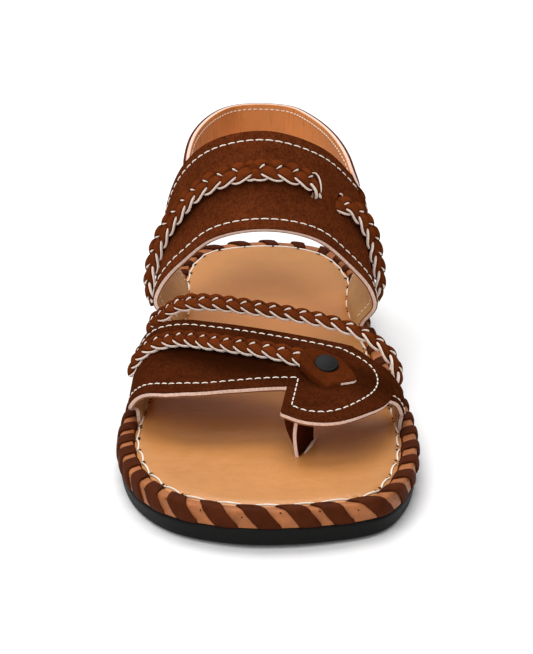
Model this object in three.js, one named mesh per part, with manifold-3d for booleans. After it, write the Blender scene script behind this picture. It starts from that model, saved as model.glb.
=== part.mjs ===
// A right-foot strap sandal with three leather plaits: rubber outsole, padded insole, laced rand,
// front strap with a big-toe lobe, toe post, wide instep strap and heel strap.
// +X is the medial side, and the toe points to -Y.
import * as THREE from 'three';
import { mergeVertices } from 'three/addons/utils/BufferGeometryUtils.js';
import Module from 'manifold-3d';

const wasm = await Module();
wasm.setup();

// Driving dimensions, in millimetres.
const LAST_LENGTH = 282; // of the last that the straps and the sole are shaped on
const BALL_WIDTH = 106; // widest part over the lacing
const INSTEP_HEIGHT = 75.6; // rear edge of the instep strap over the insole
const HEEL_LIFT = 5; // how much higher the insole lies at the heel than at the ball
const TOE_SPRING = 1.5; // rise of the sole at the toe
const ARCH_RELIEF = 3.5; // rise of the outsole's underside at the waist
const OUTSOLE_THICKNESS = 6; // at the ball
const TOE_THINNING = 0.5; // the outsole is this much thinner at the toe
const HEEL_BEVEL = 1.2; // rise of the underside at the back of the heel
const GAP = 0.35; // clearance between pieces that touch on the real shoe

// The sole's edge, measured outwards from the seam round the insole.
const INSOLE_THICKNESS = 6.6;
const INSOLE_EDGE = -0.5;
const INSOLE_ROUNDING = 1;
const RAND_TOP = 0.4; // over the insole
const RAND_HEIGHT = 5.8;
const RAND_INNER = 1.6;
const RAND_OUTER = 5.5;
const RAND_CORNER = 1.3;
const LACE_WRAPS = 50;
const LACE_WIDTH = 7.3;
const LACE_THICKNESS = 0.9;
const LACE_GAP = 0.62;
const LACE_CORNER = { inner: 0.9, outer: 1.5, rise: 0.5 }; // where a wrap turns over the rand's corners
const OUTSOLE_OUTER = 5.8;
const OUTSOLE_DRAFT = 0.6; // how far the side leans in towards the floor
const OUTSOLE_BEVEL = 1.4;

// Straps and plaits.
const STRAP_WALL = 2.4;
const HEEL_STRAP_DEPTH = 26;
const FOOT_DEPTH = 6.2; // how far a strap goes down between insole and rand
const FOOT_OUT = 0.3;
const FOOT_POCKET = 1.9; // extra width of the groove where a strap goes down
const POCKET_CUT = { out: 0.5, margin: 0.25, below: 2, above: 4 }; // of the groove in the insole
const PLAIT_WIDTH = 11;
const PLAIT_HEIGHT = 4;
const PLAIT_LOBE = 5.2; // pitch of the lobes along one side of the plait
const TUNNEL = { wider: 1.4, higher: 0.8, below: 0.6 }; // room for the plait in the instep strap's slits
const PLY = 1.1; // one ply of the toe post
const POST_NECK = 3; // how far below the lobe the plies part
const SLOT_END = 0.6; // room at each end of the toe post's slot
const TAB = { length: 20.5, width: 15, thickness: 1.7, tip: 1.1 };
const RIVET = { head: 8.4, dome: 2.3, shank: 3, rim: 0.6, shoulder: 0.5, bore: 16 };

// Places along the last, in percent from the toe.
const TOE_ROLL = 17;
const WAIST = { from: 36, to: 74 };
const ARCH = { from: 42, to: 70 };
const HEEL_ROLL = 95;
const FOOT_RAMP = 5;
const FOOT_MARGIN = 0.4;

// How finely the curved pieces are divided: columns along a strap, rows across it.
const GRID = {
  footPocket: [8, 1],
  frontStrap: [32, 4],
  underStrap: [12, 2],
  instepStrap: [38, 3],
  heelStrap: [30, 1],
  postSlot: [2, 1],
  tab: [12, 2],
};
const PLATE_POINTS = 88;
const RAND_POINTS = 104;
const OUTLINE_POINTS = 400;
const PATH_POINTS = 240;
const LOBE_POINTS = 22;
const POST_SECTIONS = [0, 0.5, 1];
const DOME_STEPS = 5;
const RIVET_SIDES = 18;
const BORE_SIDES = 16;

// The seam round the insole. In all tables along is percent of the last's length from the toe,
// across is percent of the ball width towards the medial side, and up is percent of the instep
// height over the insole.
const TOE_END = { along: 1.3, across: -1.5 };
const HEEL_END = { along: 97.5, across: -0.6 };
const SEAM_ROWS = [
  { place: 'toe front', along: 2.4, lateral: -14.8, medial: 17.8 },
  { place: 'toe corner', along: 5.2, lateral: -26.4, medial: 32.4 },
  { place: 'toes', along: 11.2, lateral: -36.2, medial: 39.6 },
  { place: 'ball', along: 22.0, lateral: -42.6, medial: 43.8 },
  { place: 'behind ball', along: 36.0, lateral: -41.3, medial: 42.3 },
  { place: 'waist', along: 53.2, lateral: -34.8, medial: 36.0 },
  { place: 'heel front', along: 69.1, lateral: -29.0, medial: 30.2 },
  { place: 'heel', along: 82.3, lateral: -29.6, medial: 30.5 },
  { place: 'heel curve', along: 91.5, lateral: -25.8, medial: 24.0 },
  { place: 'heel back', along: 95.6, lateral: -18.0, medial: 15.8 },
];

// Where straps and the free plait go down between insole and rand.
const FEET = {
  frontLateral: { side: 'lateral', front: 31.4, rear: 48.5 },
  underMedial: { side: 'medial', front: 28.4, rear: 34.6 },
  plaitLateral: { side: 'lateral', front: 50.6, rear: 54.6 },
  plaitMedial: { side: 'medial', front: 36.2, rear: 40.2 },
  instepLateral: { side: 'lateral', front: 60.0, rear: 76.5 },
  instepMedial: { side: 'medial', front: 60.5, rear: 76.5 },
};

// A strap's way down into the groove, in millimetres out from its foot and over the insole.
const FOOT_ROWS = [
  { out: 0.5, height: 3.2 },
  { out: 0, height: 0 },
  { out: 0, height: -FOOT_DEPTH },
];

// Edges of the straps from the lateral to the medial side, one row for each section.
const FRONT_STRAP_ROWS = [
  { place: 'lateral bulge', front: [29.8, -45.2, 6.9], rear: [47.5, -42.9, 9.3], swell: 0 },
  { place: 'lateral turn', front: [28.0, -43.2, 13.5], rear: [46.5, -41.5, 17.2], swell: 0 },
  { place: 'lateral shoulder', front: [25.9, -39.2, 18.8], rear: [45.4, -36.8, 25.1], swell: 0.4 },
  { place: 'lateral top', front: [23.4, -31.1, 21.8], rear: [44.1, -28.3, 29.6], swell: 0.8 },
  { place: 'small toes', front: [19.1, -18.9, 21.7], rear: [42.9, -18.9, 30.8], swell: 1.2 },
  { place: 'middle toes', front: [15.6, -4.7, 19.8], rear: [40.8, -6.6, 31.5], swell: 1.8 },
  { place: 'toe gap', front: [13.8, 9.4, 17.9], rear: [38.3, 7.5, 31.5], swell: 2.2 },
  { place: 'lobe middle', front: [13.1, 23.6, 16.1], rear: [36.2, 18.9, 31.1], swell: 2.5 },
  { place: 'lobe side', front: [13.5, 34.0, 13.9], rear: [34.8, 31.1, 28.4], swell: 2.5 },
  { place: 'lobe end', front: [14.9, 42.5, 9.9], rear: [34.0, 42.5, 19.8], swell: 2.5 },
];
const UNDER_STRAP_ROWS = [
  { place: 'bulge', front: [27.7, 44.6, 6.6], rear: [34.4, 45.1, 7.9], swell: 0 },
  { place: 'turn', front: [26.6, 42.7, 13.2], rear: [33.7, 42.7, 15.9], swell: 0 },
  { place: 'tuck', front: [25.2, 37.7, 17.0], rear: [32.3, 36.8, 22.5], swell: 0.5 },
  { place: 'end', front: [23.8, 29.2, 20.0], rear: [30.9, 28.3, 25.6], swell: 0.8 },
];
const INSTEP_STRAP_ROWS = [
  { place: 'lateral bulge', front: [58.2, -38.9, 18.5], rear: [73.8, -34.4, 26.5], swell: 0 },
  { place: 'lateral turn', front: [57.4, -37.3, 27.8], rear: [72.3, -32.8, 48.9], swell: 0 },
  { place: 'lateral shoulder', front: [56.0, -29.7, 43.0], rear: [69.9, -28.6, 74.1], swell: 0 },
  { place: 'lateral haunch', front: [54.6, -17.9, 57.3], rear: [67.6, -17.9, 92.6], swell: 0 },
  { place: 'crown', front: [53.0, 0.0, 64.0], rear: [66.0, 0.0, 100.0], swell: 0 },
  { place: 'medial haunch', front: [54.3, 17.5, 57.1], rear: [67.6, 17.5, 91.5], swell: 0 },
  { place: 'medial shoulder', front: [56.0, 28.8, 41.7], rear: [69.9, 28.6, 74.7], swell: 0 },
  { place: 'medial turn', front: [57.4, 36.6, 26.5], rear: [72.0, 32.6, 52.9], swell: 0 },
  { place: 'medial bulge', front: [58.5, 38.3, 18.5], rear: [73.8, 34.0, 26.5], swell: 0 },
];
const HEEL_STRAP_ROWS = [
  { place: 'lateral end', along: 68.5, across: -28.6, up: 71.5 },
  { place: 'lateral front', along: 72.5, across: -28.4, up: 77.5 },
  { place: 'lateral side', along: 79.0, across: -25.8, up: 81.6 },
  { place: 'lateral curve', along: 87.0, across: -18.4, up: 83.0 },
  { place: 'lateral back', along: 91.6, across: -10.4, up: 82.9 },
  { place: 'back', along: 92.5, across: -0.9, up: 82.6 },
  { place: 'medial back', along: 91.6, across: 8.0, up: 82.6 },
  { place: 'medial curve', along: 87.0, across: 15.2, up: 82.6 },
  { place: 'medial side', along: 79.0, across: 23.6, up: 81.0 },
  { place: 'medial front', along: 72.5, across: 27.4, up: 77.5 },
  { place: 'medial end', along: 68.5, across: 28.4, up: 71.5 },
];

// The big-toe lobe and the front strap's front edge, as cut from the leather.
const BAND_FRONT = [
  { place: 'lateral', along: 23.4, across: -32.0 },
  { place: 'small toes', along: 23.8, across: -20.0 },
  { place: 'middle toes', along: 23.6, across: -6.0 },
  { place: 'notch', along: 23.2, across: 6.6 },
];
const LOBE_ROWS = [
  { place: 'front corner', along: 17.2, across: 4.4 },
  { place: 'front left', along: 15.7, across: 12.0 },
  { place: 'front', along: 15.4, across: 20.5 },
  { place: 'front right', along: 17.0, across: 29.5 },
  { place: 'side front', along: 21.0, across: 37.8 },
  { place: 'side', along: 26.0, across: 41.4 },
  { place: 'side rear', along: 30.6, across: 39.2 },
  { place: 'rear', along: 34.8, across: 29.0 },
];
const CUT_MARGIN = 40; // how far the cutting line runs clear of the leather
const CUT_BACK = 4; // the cutting line leaves the lobe's rear this far inwards

// The plaits. On a strap, row is the strap's section, share is the place from front edge to rear edge,
// and lift is the height over the strap in millimetres; a negative lift is under it.
const FRONT_PLAIT_ROWS = [
  { row: 0.1, share: 0.6, lift: 0 },
  { row: 1.0, share: 0.61, lift: 0 },
  { row: 2.0, share: 0.62, lift: 0 },
  { row: 3.0, share: 0.64, lift: 0 },
  { row: 4.0, share: 0.66, lift: 0 },
  { row: 5.0, share: 0.67, lift: 0 },
  { row: 6.0, share: 0.66, lift: 0 },
];
const INSTEP_PLAIT_ROWS = [
  { row: -0.25, share: 0.22, lift: 0.6 },
  { row: 0.4, share: 0.3, lift: 2.4 },
  { row: 1.0, share: 0.38, lift: 3.2 },
  { row: 2.0, share: 0.44, lift: 2.6 },
  { row: 3.0, share: 0.48, lift: 0.6 },
  { row: 4.0, share: 0.5, lift: 0 },
  { row: 4.72, share: 0.5, lift: 0.2 },
  { row: 5.28, share: 0.5, lift: -6.9 },
  { row: 5.62, share: 0.5, lift: -6.9 },
  { row: 6.15, share: 0.49, lift: 0.4 },
  { row: 7.0, share: 0.45, lift: 2.8 },
  { row: 8.0, share: 0.36, lift: 2.6 },
  { row: 8.8, share: 0.26, lift: 0.6 },
];
const MIDDLE_PLAIT_ROWS = [
  { place: 'lateral bulge', along: 52.1, across: -40.1, up: 15.5 },
  { place: 'lateral turn', along: 50.0, across: -35.4, up: 24.5 },
  { place: 'lateral shoulder', along: 48.2, across: -29.2, up: 30.6 },
  { place: 'small toes', along: 46.5, across: -18.9, up: 33.2 },
  { place: 'middle toes', along: 45.0, across: -6.6, up: 33.0 },
  { place: 'toe gap', along: 43.3, across: 7.5, up: 32.0 },
  { place: 'big toe', along: 41.5, across: 22.6, up: 29.8 },
  { place: 'medial shoulder', along: 40.1, across: 34.0, up: 25.4 },
  { place: 'medial turn', along: 38.8, across: 42.0, up: 17.6 },
  { place: 'medial bulge', along: 38.2, across: 45.0, up: 9.6 },
];
const MIDDLE_PLAIT = {
  halfSpan: 30, // of the arch that its flat face looks out from
  rise: 18,
  lean: 0.5, // towards the toe
  leanFrom: 3, // height over the insole where it starts to lean
  leanTo: 16,
  inset: 1.1, // its back lies this far inside the middle of the groove
  pressed: 0.52, // share of its thickness left in the groove
  pressedTo: 5.1, // length of the pressed end
  fullFrom: 16.3,
};

// The toe post's slot in the insole, and the rivet.
const POST_FRONT = { along: 17.9, across: 10.1 };
const POST_REAR = { along: 24.1, across: 14.9 };
const POST_FLANGE = 6; // width of each ply sewn under the lobe
const RIVET_PLACE = { along: 27.2, across: 19.6 };
const TAB_TURN = THREE.MathUtils.degToRad(-39);
const TAB_AHEAD = 0.5; // the tab's middle lies this far past the rivet

// Finishes.
const leather = (color, roughness) => new THREE.MeshStandardMaterial({ color, roughness, metalness: 0 });
const SUEDE = leather(0x5a2c18, 0.85);
const PLAIT_SUEDE = leather(0x6a3820, 0.85);
const TAN = leather(0xcf8d58, 0.5);
const RAND_TAN = leather(0xb87a4c, 0.55);
const LACE_BROWN = leather(0x4b2615, 0.6);
const RUBBER = leather(0x1e1d1b, 0.75);
const RIVET_BLACK = new THREE.MeshStandardMaterial({ color: 0x2f2f2d, roughness: 0.35, metalness: 0.6 });

// Heights of the sole at a place along it.
const squareRise = (share) => Math.max(share, 0) ** 2;

function groundHeight(along) {
  const toe = (TOE_SPRING + TOE_THINNING) * squareRise((TOE_ROLL - along) / TOE_ROLL);
  const heel = HEEL_BEVEL * squareRise((along - HEEL_ROLL) / (100 - HEEL_ROLL));
  const inArch = THREE.MathUtils.clamp((along - ARCH.from) / (ARCH.to - ARCH.from), 0, 1);
  return toe + heel + ARCH_RELIEF * Math.sin(Math.PI * inArch) ** 2;
}

function outsoleTop(along) {
  const toe = TOE_SPRING * squareRise((TOE_ROLL - along) / TOE_ROLL);
  return OUTSOLE_THICKNESS + toe + HEEL_LIFT * THREE.MathUtils.smoothstep(along, WAIST.from, WAIST.to);
}

const insoleTop = (along) => outsoleTop(along) + GAP + INSOLE_THICKNESS;

// The seam as a closed curve in plan, from the toe along the medial side to the heel and back.
const planPoint = ({ along, across }) =>
  new THREE.Vector3((across / 100) * BALL_WIDTH, (along / 100) * LAST_LENGTH, 0);
const seamPoints = [
  planPoint(TOE_END),
  ...SEAM_ROWS.map(({ along, medial }) => planPoint({ along, across: medial })),
  planPoint(HEEL_END),
  ...SEAM_ROWS.toReversed().map(({ along, lateral }) => planPoint({ along, across: lateral })),
];
const seam = new THREE.CatmullRomCurve3(seamPoints, true);
seam.arcLengthDivisions = 600;

function offsetFrom(point, tangent, out) {
  const outward = new THREE.Vector3(tangent.y, -tangent.x, 0).normalize();
  return point.clone().addScaledVector(outward, out);
}

// The middle of the sole's outline is the part's origin.
const laceOuter = RAND_OUTER + LACE_GAP + LACE_THICKNESS;
const outline = Array.from({ length: OUTLINE_POINTS }, (_, i) => {
  const share = i / OUTLINE_POINTS;
  return offsetFrom(seam.getPoint(share), seam.getTangent(share), laceOuter);
});
const CENTRE = new THREE.Box3().setFromPoints(outline).getCenter(new THREE.Vector3());
const alongOf = (y) => ((y + CENTRE.y) / LAST_LENGTH) * 100;

function soleAt(point, tangent, out) {
  return offsetFrom(point, tangent, out).sub(CENTRE);
}

const seamAt = (share, out) => soleAt(seam.getPoint(share), seam.getTangent(share), out);
const seamAtLength = (share, out) => soleAt(seam.getPointAt(share), seam.getTangentAt(share), out);

// A point of the seam at a place along the sole, found by halving.
function seamShare(side, along) {
  let [near, far] = side === 'medial' ? [0, 0.5] : [1, 0.5];
  for (let step = 0; step < 30; step += 1) {
    const middle = (near + far) / 2;
    if ((seam.getPoint(middle).y / LAST_LENGTH) * 100 < along) near = middle;
    else far = middle;
  }
  return near;
}

function edgePoint(side, along, out, height) {
  const point = seamAt(seamShare(side, along), out);
  return point.setZ(insoleTop(alongOf(point.y)) + height);
}

// A point over the insole from a row of a table.
function over({ along, across, up }) {
  const point = planPoint({ along, across }).sub(CENTRE);
  return point.setZ(insoleTop(along) + (up / 100) * INSTEP_HEIGHT);
}

// Closed meshes from points and faces.
function closedMesh(points, faces) {
  const volume = faces.reduce(
    (sum, [a, b, c]) => sum + points[a].dot(points[b].clone().cross(points[c])), 0);
  const turned = volume < 0 ? faces.map(([a, b, c]) => [a, c, b]) : faces;
  const geometry = new THREE.BufferGeometry().setFromPoints(points);
  geometry.setIndex(turned.flat());
  return geometry;
}

const quad = (a, b, c, d) => [[a, b, c], [a, c, d]];

// A ring of like sections joined end to start.
function ringMesh(sections) {
  const sides = sections[0].length;
  const at = (i, j) => (i % sections.length) * sides + (j % sides);
  const faces = sections.flatMap((section, i) =>
    section.flatMap((_, j) => quad(at(i, j), at(i + 1, j), at(i + 1, j + 1), at(i, j + 1))));
  return closedMesh(sections.flat(), faces);
}

// A bar of like sections closed by flat ends.
function barMesh(sections) {
  const sides = sections[0].length;
  const last = sections.length - 1;
  const at = (i, j) => i * sides + (j % sides);
  const faces = sections.slice(0, last).flatMap((section, i) =>
    section.flatMap((_, j) => quad(at(i, j), at(i + 1, j), at(i + 1, j + 1), at(i, j + 1))));
  for (let j = 1; j < sides - 1; j += 1) {
    faces.push([at(0, 0), at(0, j), at(0, j + 1)]);
    faces.push([at(last, 0), at(last, j + 1), at(last, j)]);
  }
  return closedMesh(sections.flat(), faces);
}

// A plate whose rings share the seam's order, so each medial point has a lateral twin.
function plateMesh(rings) {
  const count = rings[0].length;
  const at = (ring, i) => ring * count + ((i + count) % count);
  const faces = [];
  for (let ring = 0; ring < rings.length - 1; ring += 1) {
    for (let i = 0; i < count; i += 1) {
      faces.push(...quad(at(ring, i), at(ring, i + 1), at(ring + 1, i + 1), at(ring + 1, i)));
    }
  }
  const top = rings.length - 1;
  for (let i = 0; i < count / 2; i += 1) {
    faces.push([at(0, i), at(0, -i), at(0, i + 1)], [at(0, i + 1), at(0, -i), at(0, -i - 1)]);
    faces.push([at(top, i), at(top, i + 1), at(top, -i)], [at(top, i + 1), at(top, -i - 1), at(top, -i)]);
  }
  return closedMesh(rings.flat(), faces.filter(([a, b, c]) => a !== b && b !== c && a !== c));
}

// A wall of even thickness over a surface given as point(i, j) and normal(i, j).
function wallMesh(surface, columns, rows, thickness) {
  const points = [];
  for (const half of [thickness / 2, -thickness / 2]) {
    for (let i = 0; i <= columns; i += 1) {
      for (let j = 0; j <= rows; j += 1) {
        const { point, normal } = frameOn(surface, i / columns, j / rows);
        points.push(point.addScaledVector(normal, half));
      }
    }
  }
  const back = (columns + 1) * (rows + 1);
  const at = (i, j) => i * (rows + 1) + j;
  const faces = [];
  for (let i = 0; i < columns; i += 1) {
    for (let j = 0; j < rows; j += 1) {
      const cell = [at(i, j), at(i + 1, j), at(i + 1, j + 1), at(i, j + 1)];
      faces.push(...quad(...cell), ...quad(...cell.map((k) => k + back).reverse()));
    }
    for (const [a, b] of [[at(i + 1, 0), at(i, 0)], [at(i, rows), at(i + 1, rows)]]) {
      faces.push(...quad(a, b, b + back, a + back));
    }
  }
  for (let j = 0; j < rows; j += 1) {
    for (const [a, b] of [[at(0, j), at(0, j + 1)], [at(columns, j + 1), at(columns, j)]]) {
      faces.push(...quad(a, b, b + back, a + back));
    }
  }
  return closedMesh(points, faces);
}

// The point of a surface and its outward normal, by small steps along it.
function frameOn(surface, u, v) {
  const step = 1e-3;
  const spread = (a, b) => surface(Math.min(a, 1), Math.min(b, 1));
  const alongU = spread(u + step, v).sub(surface(Math.max(u - step, 0), v));
  const alongV = spread(u, v + step).sub(surface(u, Math.max(v - step, 0)));
  return { point: surface(u, v), normal: alongV.cross(alongU).negate().normalize() };
}

// Joins and cuts.
function toSolid(geometry) {
  const bare = geometry.clone();
  bare.deleteAttribute('normal');
  bare.deleteAttribute('uv');
  const merged = mergeVertices(bare, 1e-4);
  return new wasm.Manifold(new wasm.Mesh({
    numProp: 3,
    vertProperties: merged.attributes.position.array,
    triVerts: Uint32Array.from(merged.index.array),
  }));
}

function toGeometry(solid) {
  const mesh = solid.getMesh();
  const geometry = new THREE.BufferGeometry();
  geometry.setAttribute('position', new THREE.BufferAttribute(mesh.vertProperties, 3));
  geometry.setIndex(new THREE.BufferAttribute(mesh.triVerts, 1));
  return geometry;
}

// The sole's plates.
function plateRing(out, height) {
  return Array.from({ length: PLATE_POINTS }, (_, i) => {
    const point = seamAt(i / PLATE_POINTS, out);
    return point.setZ(height(alongOf(point.y)));
  });
}

function outsoleGeometry() {
  const foot = OUTSOLE_OUTER - OUTSOLE_DRAFT;
  return plateMesh([
    plateRing(foot - OUTSOLE_BEVEL, groundHeight),
    plateRing(foot, (along) => groundHeight(along) + OUTSOLE_BEVEL),
    plateRing(OUTSOLE_OUTER, (along) => outsoleTop(along) - OUTSOLE_BEVEL),
    plateRing(OUTSOLE_OUTER - OUTSOLE_BEVEL / 2, outsoleTop),
  ]);
}

// Where a strap goes down, the groove between insole and rand is wider: 1 there, 0 elsewhere.
function pocketAt(share) {
  const along = (seam.getPointAt(share).y / LAST_LENGTH) * 100;
  const side = share < 0.5 ? 'medial' : 'lateral';
  const feet = Object.values(FEET).filter((foot) => foot.side === side);
  return Math.max(...feet.map(({ front, rear }) => {
    const opens = THREE.MathUtils.smoothstep(along, front - FOOT_RAMP, front - FOOT_MARGIN);
    const closes = THREE.MathUtils.smoothstep(along, rear + FOOT_MARGIN, rear + FOOT_RAMP);
    return opens * (1 - closes);
  }));
}

// A point on its way through the insole: share 0 is below it, 1 above it.
function throughInsole(point, share) {
  const { below, above } = POCKET_CUT;
  const height = THREE.MathUtils.lerp(-INSOLE_THICKNESS - below, above, share);
  return point.setZ(insoleTop(alongOf(point.y)) + height);
}

function pocketCutter({ side, front, rear }) {
  const { out, margin } = POCKET_CUT;
  const ends = [front - margin, rear + margin].map((along) => seamShare(side, along));
  const surface = (u, v) => throughInsole(seamAt(THREE.MathUtils.lerp(...ends, u), out), v);
  return toSolid(wallMesh(surface, ...GRID.footPocket, STRAP_WALL + FOOT_POCKET));
}

function insoleGeometry() {
  const plate = plateMesh([
    plateRing(INSOLE_EDGE, (along) => outsoleTop(along) + GAP),
    plateRing(INSOLE_EDGE, (along) => insoleTop(along) - INSOLE_ROUNDING),
    plateRing(INSOLE_EDGE - INSOLE_ROUNDING, insoleTop),
  ]);
  const pockets = Object.values(FEET).map(pocketCutter);
  const cut = pockets.reduce((solid, pocket) => solid.subtract(pocket), toSolid(plate));
  return toGeometry(cut.subtract(postSlot()));
}

// The rand and the lace round it share one section, in millimetres out from the seam and over the insole.
function randGeometry() {
  const low = RAND_TOP - RAND_HEIGHT;
  const sections = Array.from({ length: RAND_POINTS }, (_, i) => {
    const share = i / RAND_POINTS;
    const inner = RAND_INNER + FOOT_POCKET * pocketAt(share);
    const section = [
      [inner, low],
      [inner, RAND_TOP],
      [RAND_OUTER - RAND_CORNER, RAND_TOP],
      [RAND_OUTER, RAND_TOP - RAND_CORNER],
      [RAND_OUTER, low + RAND_CORNER],
      [RAND_OUTER - RAND_CORNER, low],
    ];
    return section.map(([out, height]) => edgeAtLength(share, out, height));
  });
  return ringMesh(sections);
}

function edgeAtLength(share, out, height) {
  const point = seamAtLength(share, out);
  return point.setZ(insoleTop(alongOf(point.y)) + height);
}

// One turn of the lace: out and height of its middle, and how far it has moved on as a share of the pitch.
function laceTurn(pocket) {
  const stand = LACE_GAP + LACE_THICKNESS / 2;
  const inner = RAND_INNER + FOOT_POCKET * pocket - stand;
  const outer = RAND_OUTER + stand;
  const top = RAND_TOP + stand;
  const low = RAND_TOP - RAND_HEIGHT - stand;
  return [
    { out: inner, height: low + LACE_CORNER.rise, advance: 0 },
    { out: inner, height: top - LACE_CORNER.rise, advance: 0.05 },
    { out: inner + LACE_CORNER.inner, height: top, advance: 0.1 },
    { out: outer - LACE_CORNER.outer, height: top, advance: 0.27 },
    { out: outer, height: top - LACE_CORNER.outer, advance: 0.36 },
    { out: outer, height: low + LACE_CORNER.outer, advance: 0.56 },
    { out: outer - LACE_CORNER.outer, height: low, advance: 0.66 },
    { out: inner + LACE_CORNER.inner, height: low, advance: 0.92 },
  ];
}

function lacingGeometry() {
  const half = LACE_WIDTH / 2 / seam.getLength();
  const stops = laceTurn(0).length;
  const sections = [];
  for (let wrap = 0; wrap < LACE_WRAPS; wrap += 1) {
    for (let stop = 0; stop < stops; stop += 1) {
      const middle = (wrap + laceTurn(0)[stop].advance) / LACE_WRAPS;
      const corner = (side, face) => {
        const share = (middle + side * half + 1) % 1;
        const turn = laceTurn(pocketAt(share));
        const [before, here, after] = [-1, 0, 1].map((k) => turn[(stop + k + stops) % stops]);
        const run = new THREE.Vector2(after.out - before.out, after.height - before.height);
        run.normalize();
        const reach = (face * LACE_THICKNESS) / 2;
        return edgeAtLength(share, here.out - run.y * reach, here.height + run.x * reach);
      };
      sections.push([corner(-1, -1), corner(1, -1), corner(1, 1), corner(-1, 1)]);
    }
  }
  return ringMesh(sections);
}

// Strap surfaces: straight from the front edge to the rear edge of each section, swelling a little between.
function railPoints(rows, edge, feet) {
  const points = rows.map((row) => over({ along: row[edge][0], across: row[edge][1], up: row[edge][2] }));
  const down = (foot) => FOOT_ROWS.map(({ out, height }) =>
    edgePoint(foot.side, foot[edge], FOOT_OUT + out, height));
  const start = feet.start ? down(feet.start).reverse() : [];
  const end = feet.end ? down(feet.end) : [];
  return [...start, ...points, ...end];
}

// How far the groove bows away from the straight line between the front and the rear of a foot.
function footBow({ side, front, rear }, v) {
  const at = (share) => edgePoint(side, THREE.MathUtils.lerp(front, rear, share), FOOT_OUT, 0);
  return at(v).sub(at(0).lerp(at(1), v));
}

function strapSurface(rows, feet) {
  const front = new THREE.CatmullRomCurve3(railPoints(rows, 'front', feet));
  const rear = new THREE.CatmullRomCurve3(railPoints(rows, 'rear', feet));
  const lead = feet.start ? FOOT_ROWS.length : 0;
  const last = front.points.length - 1;
  const swellAt = (u) => {
    const row = THREE.MathUtils.clamp(u * last - lead, 0, rows.length - 1);
    const below = Math.min(Math.floor(row), rows.length - 2);
    return THREE.MathUtils.lerp(rows[below].swell, rows[below + 1].swell, row - below);
  };
  const surface = (u, v) => {
    const point = front.getPoint(u).lerp(rear.getPoint(u), v);
    const row = u * last;
    const leaves = FOOT_ROWS.length;
    const inGroove = (above) => 1 - THREE.MathUtils.smoothstep(above, leaves - 1, leaves);
    if (feet.start) point.addScaledVector(footBow(feet.start, v), inGroove(row));
    if (feet.end) point.addScaledVector(footBow(feet.end, v), inGroove(last - row));
    return point.setZ(point.z + swellAt(u) * 4 * v * (1 - v));
  };
  surface.rowShare = (row) => (row + lead) / last;
  return surface;
}

const frontSurface = strapSurface(FRONT_STRAP_ROWS, { start: FEET.frontLateral });
const underSurface = strapSurface(UNDER_STRAP_ROWS.toReversed(), { end: FEET.underMedial });
const instepFeet = { start: FEET.instepLateral, end: FEET.instepMedial };
const instepSurface = strapSurface(INSTEP_STRAP_ROWS, instepFeet);

// The leather's cutting line in plan, stood up as a block.
function cuttingBlock() {
  const flat = (row) => {
    const point = planPoint(row).sub(CENTRE);
    return new THREE.Vector2(point.x, point.y);
  };
  const band = BAND_FRONT.map(flat);
  const lobe = new THREE.SplineCurve(LOBE_ROWS.map(flat)).getPoints(LOBE_POINTS);
  const far = BALL_WIDTH / 2 + CUT_MARGIN;
  const behind = LAST_LENGTH / 2;
  const outlinePoints = [
    new THREE.Vector2(-far, -behind),
    new THREE.Vector2(band[0].x, -behind),
    ...band,
    ...lobe,
    new THREE.Vector2(lobe.at(-1).x - CUT_BACK, behind),
    new THREE.Vector2(-far, behind),
  ];
  const shape = new THREE.Shape(outlinePoints);
  return toSolid(new THREE.ExtrudeGeometry(shape, { depth: INSTEP_HEIGHT, bevelEnabled: false }));
}

function frontStrapGeometry() {
  const sheet = toSolid(wallMesh(frontSurface, ...GRID.frontStrap, STRAP_WALL));
  const under = toSolid(wallMesh(underSurface, ...GRID.underStrap, STRAP_WALL));
  return toGeometry(sheet.intersect(cuttingBlock()).add(under).subtract(rivetBore()));
}

// The heel strap stands on edge round the heel, its ends inside the instep strap.
function heelSurface() {
  const top = new THREE.CatmullRomCurve3(HEEL_STRAP_ROWS.map(over));
  return (u, v) => {
    const point = top.getPoint(u);
    return point.setZ(point.z - HEEL_STRAP_DEPTH * v);
  };
}

function instepStrapGeometry() {
  const strap = toSolid(wallMesh(instepSurface, ...GRID.instepStrap, STRAP_WALL));
  const heel = toSolid(wallMesh(heelSurface(), ...GRID.heelStrap, STRAP_WALL));
  const [width, height] = [PLAIT_WIDTH + TUNNEL.wider, PLAIT_HEIGHT + TUNNEL.higher];
  const tunnel = toSolid(plaitMesh(instepPlaitPath(), width, height, -TUNNEL.below));
  return toGeometry(strap.add(heel).subtract(tunnel));
}

// Plaits: a flat wall whose lobes rise in turn on its two sides.
const LOBE_PROFILE = [
  { across: -0.5, high: 0.3, low: 0.3 },
  { across: -0.26, high: 1, low: 0.62 },
  { across: 0, high: 0.72, low: 0.72 },
  { across: 0.26, high: 0.62, low: 1 },
  { across: 0.5, high: 0.3, low: 0.3 },
];

function plaitMesh(path, width = PLAIT_WIDTH, height = PLAIT_HEIGHT, floor = 0) {
  const steps = Math.round((path.length / PLAIT_LOBE) * 2);
  const sections = Array.from({ length: steps + 1 }, (_, i) => {
    const { point, normal, side, squeeze } = path.at(i / steps);
    const face = i % 2 ? 'high' : 'low';
    const top = LOBE_PROFILE.map((stop) => [stop.across, height * stop[face] * squeeze]);
    const section = [[-0.5, floor], ...top, [0.5, floor]];
    return section.map(([across, rise]) =>
      point.clone().addScaledVector(side, across * width).addScaledVector(normal, rise));
  });
  return barMesh(sections);
}

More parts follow.
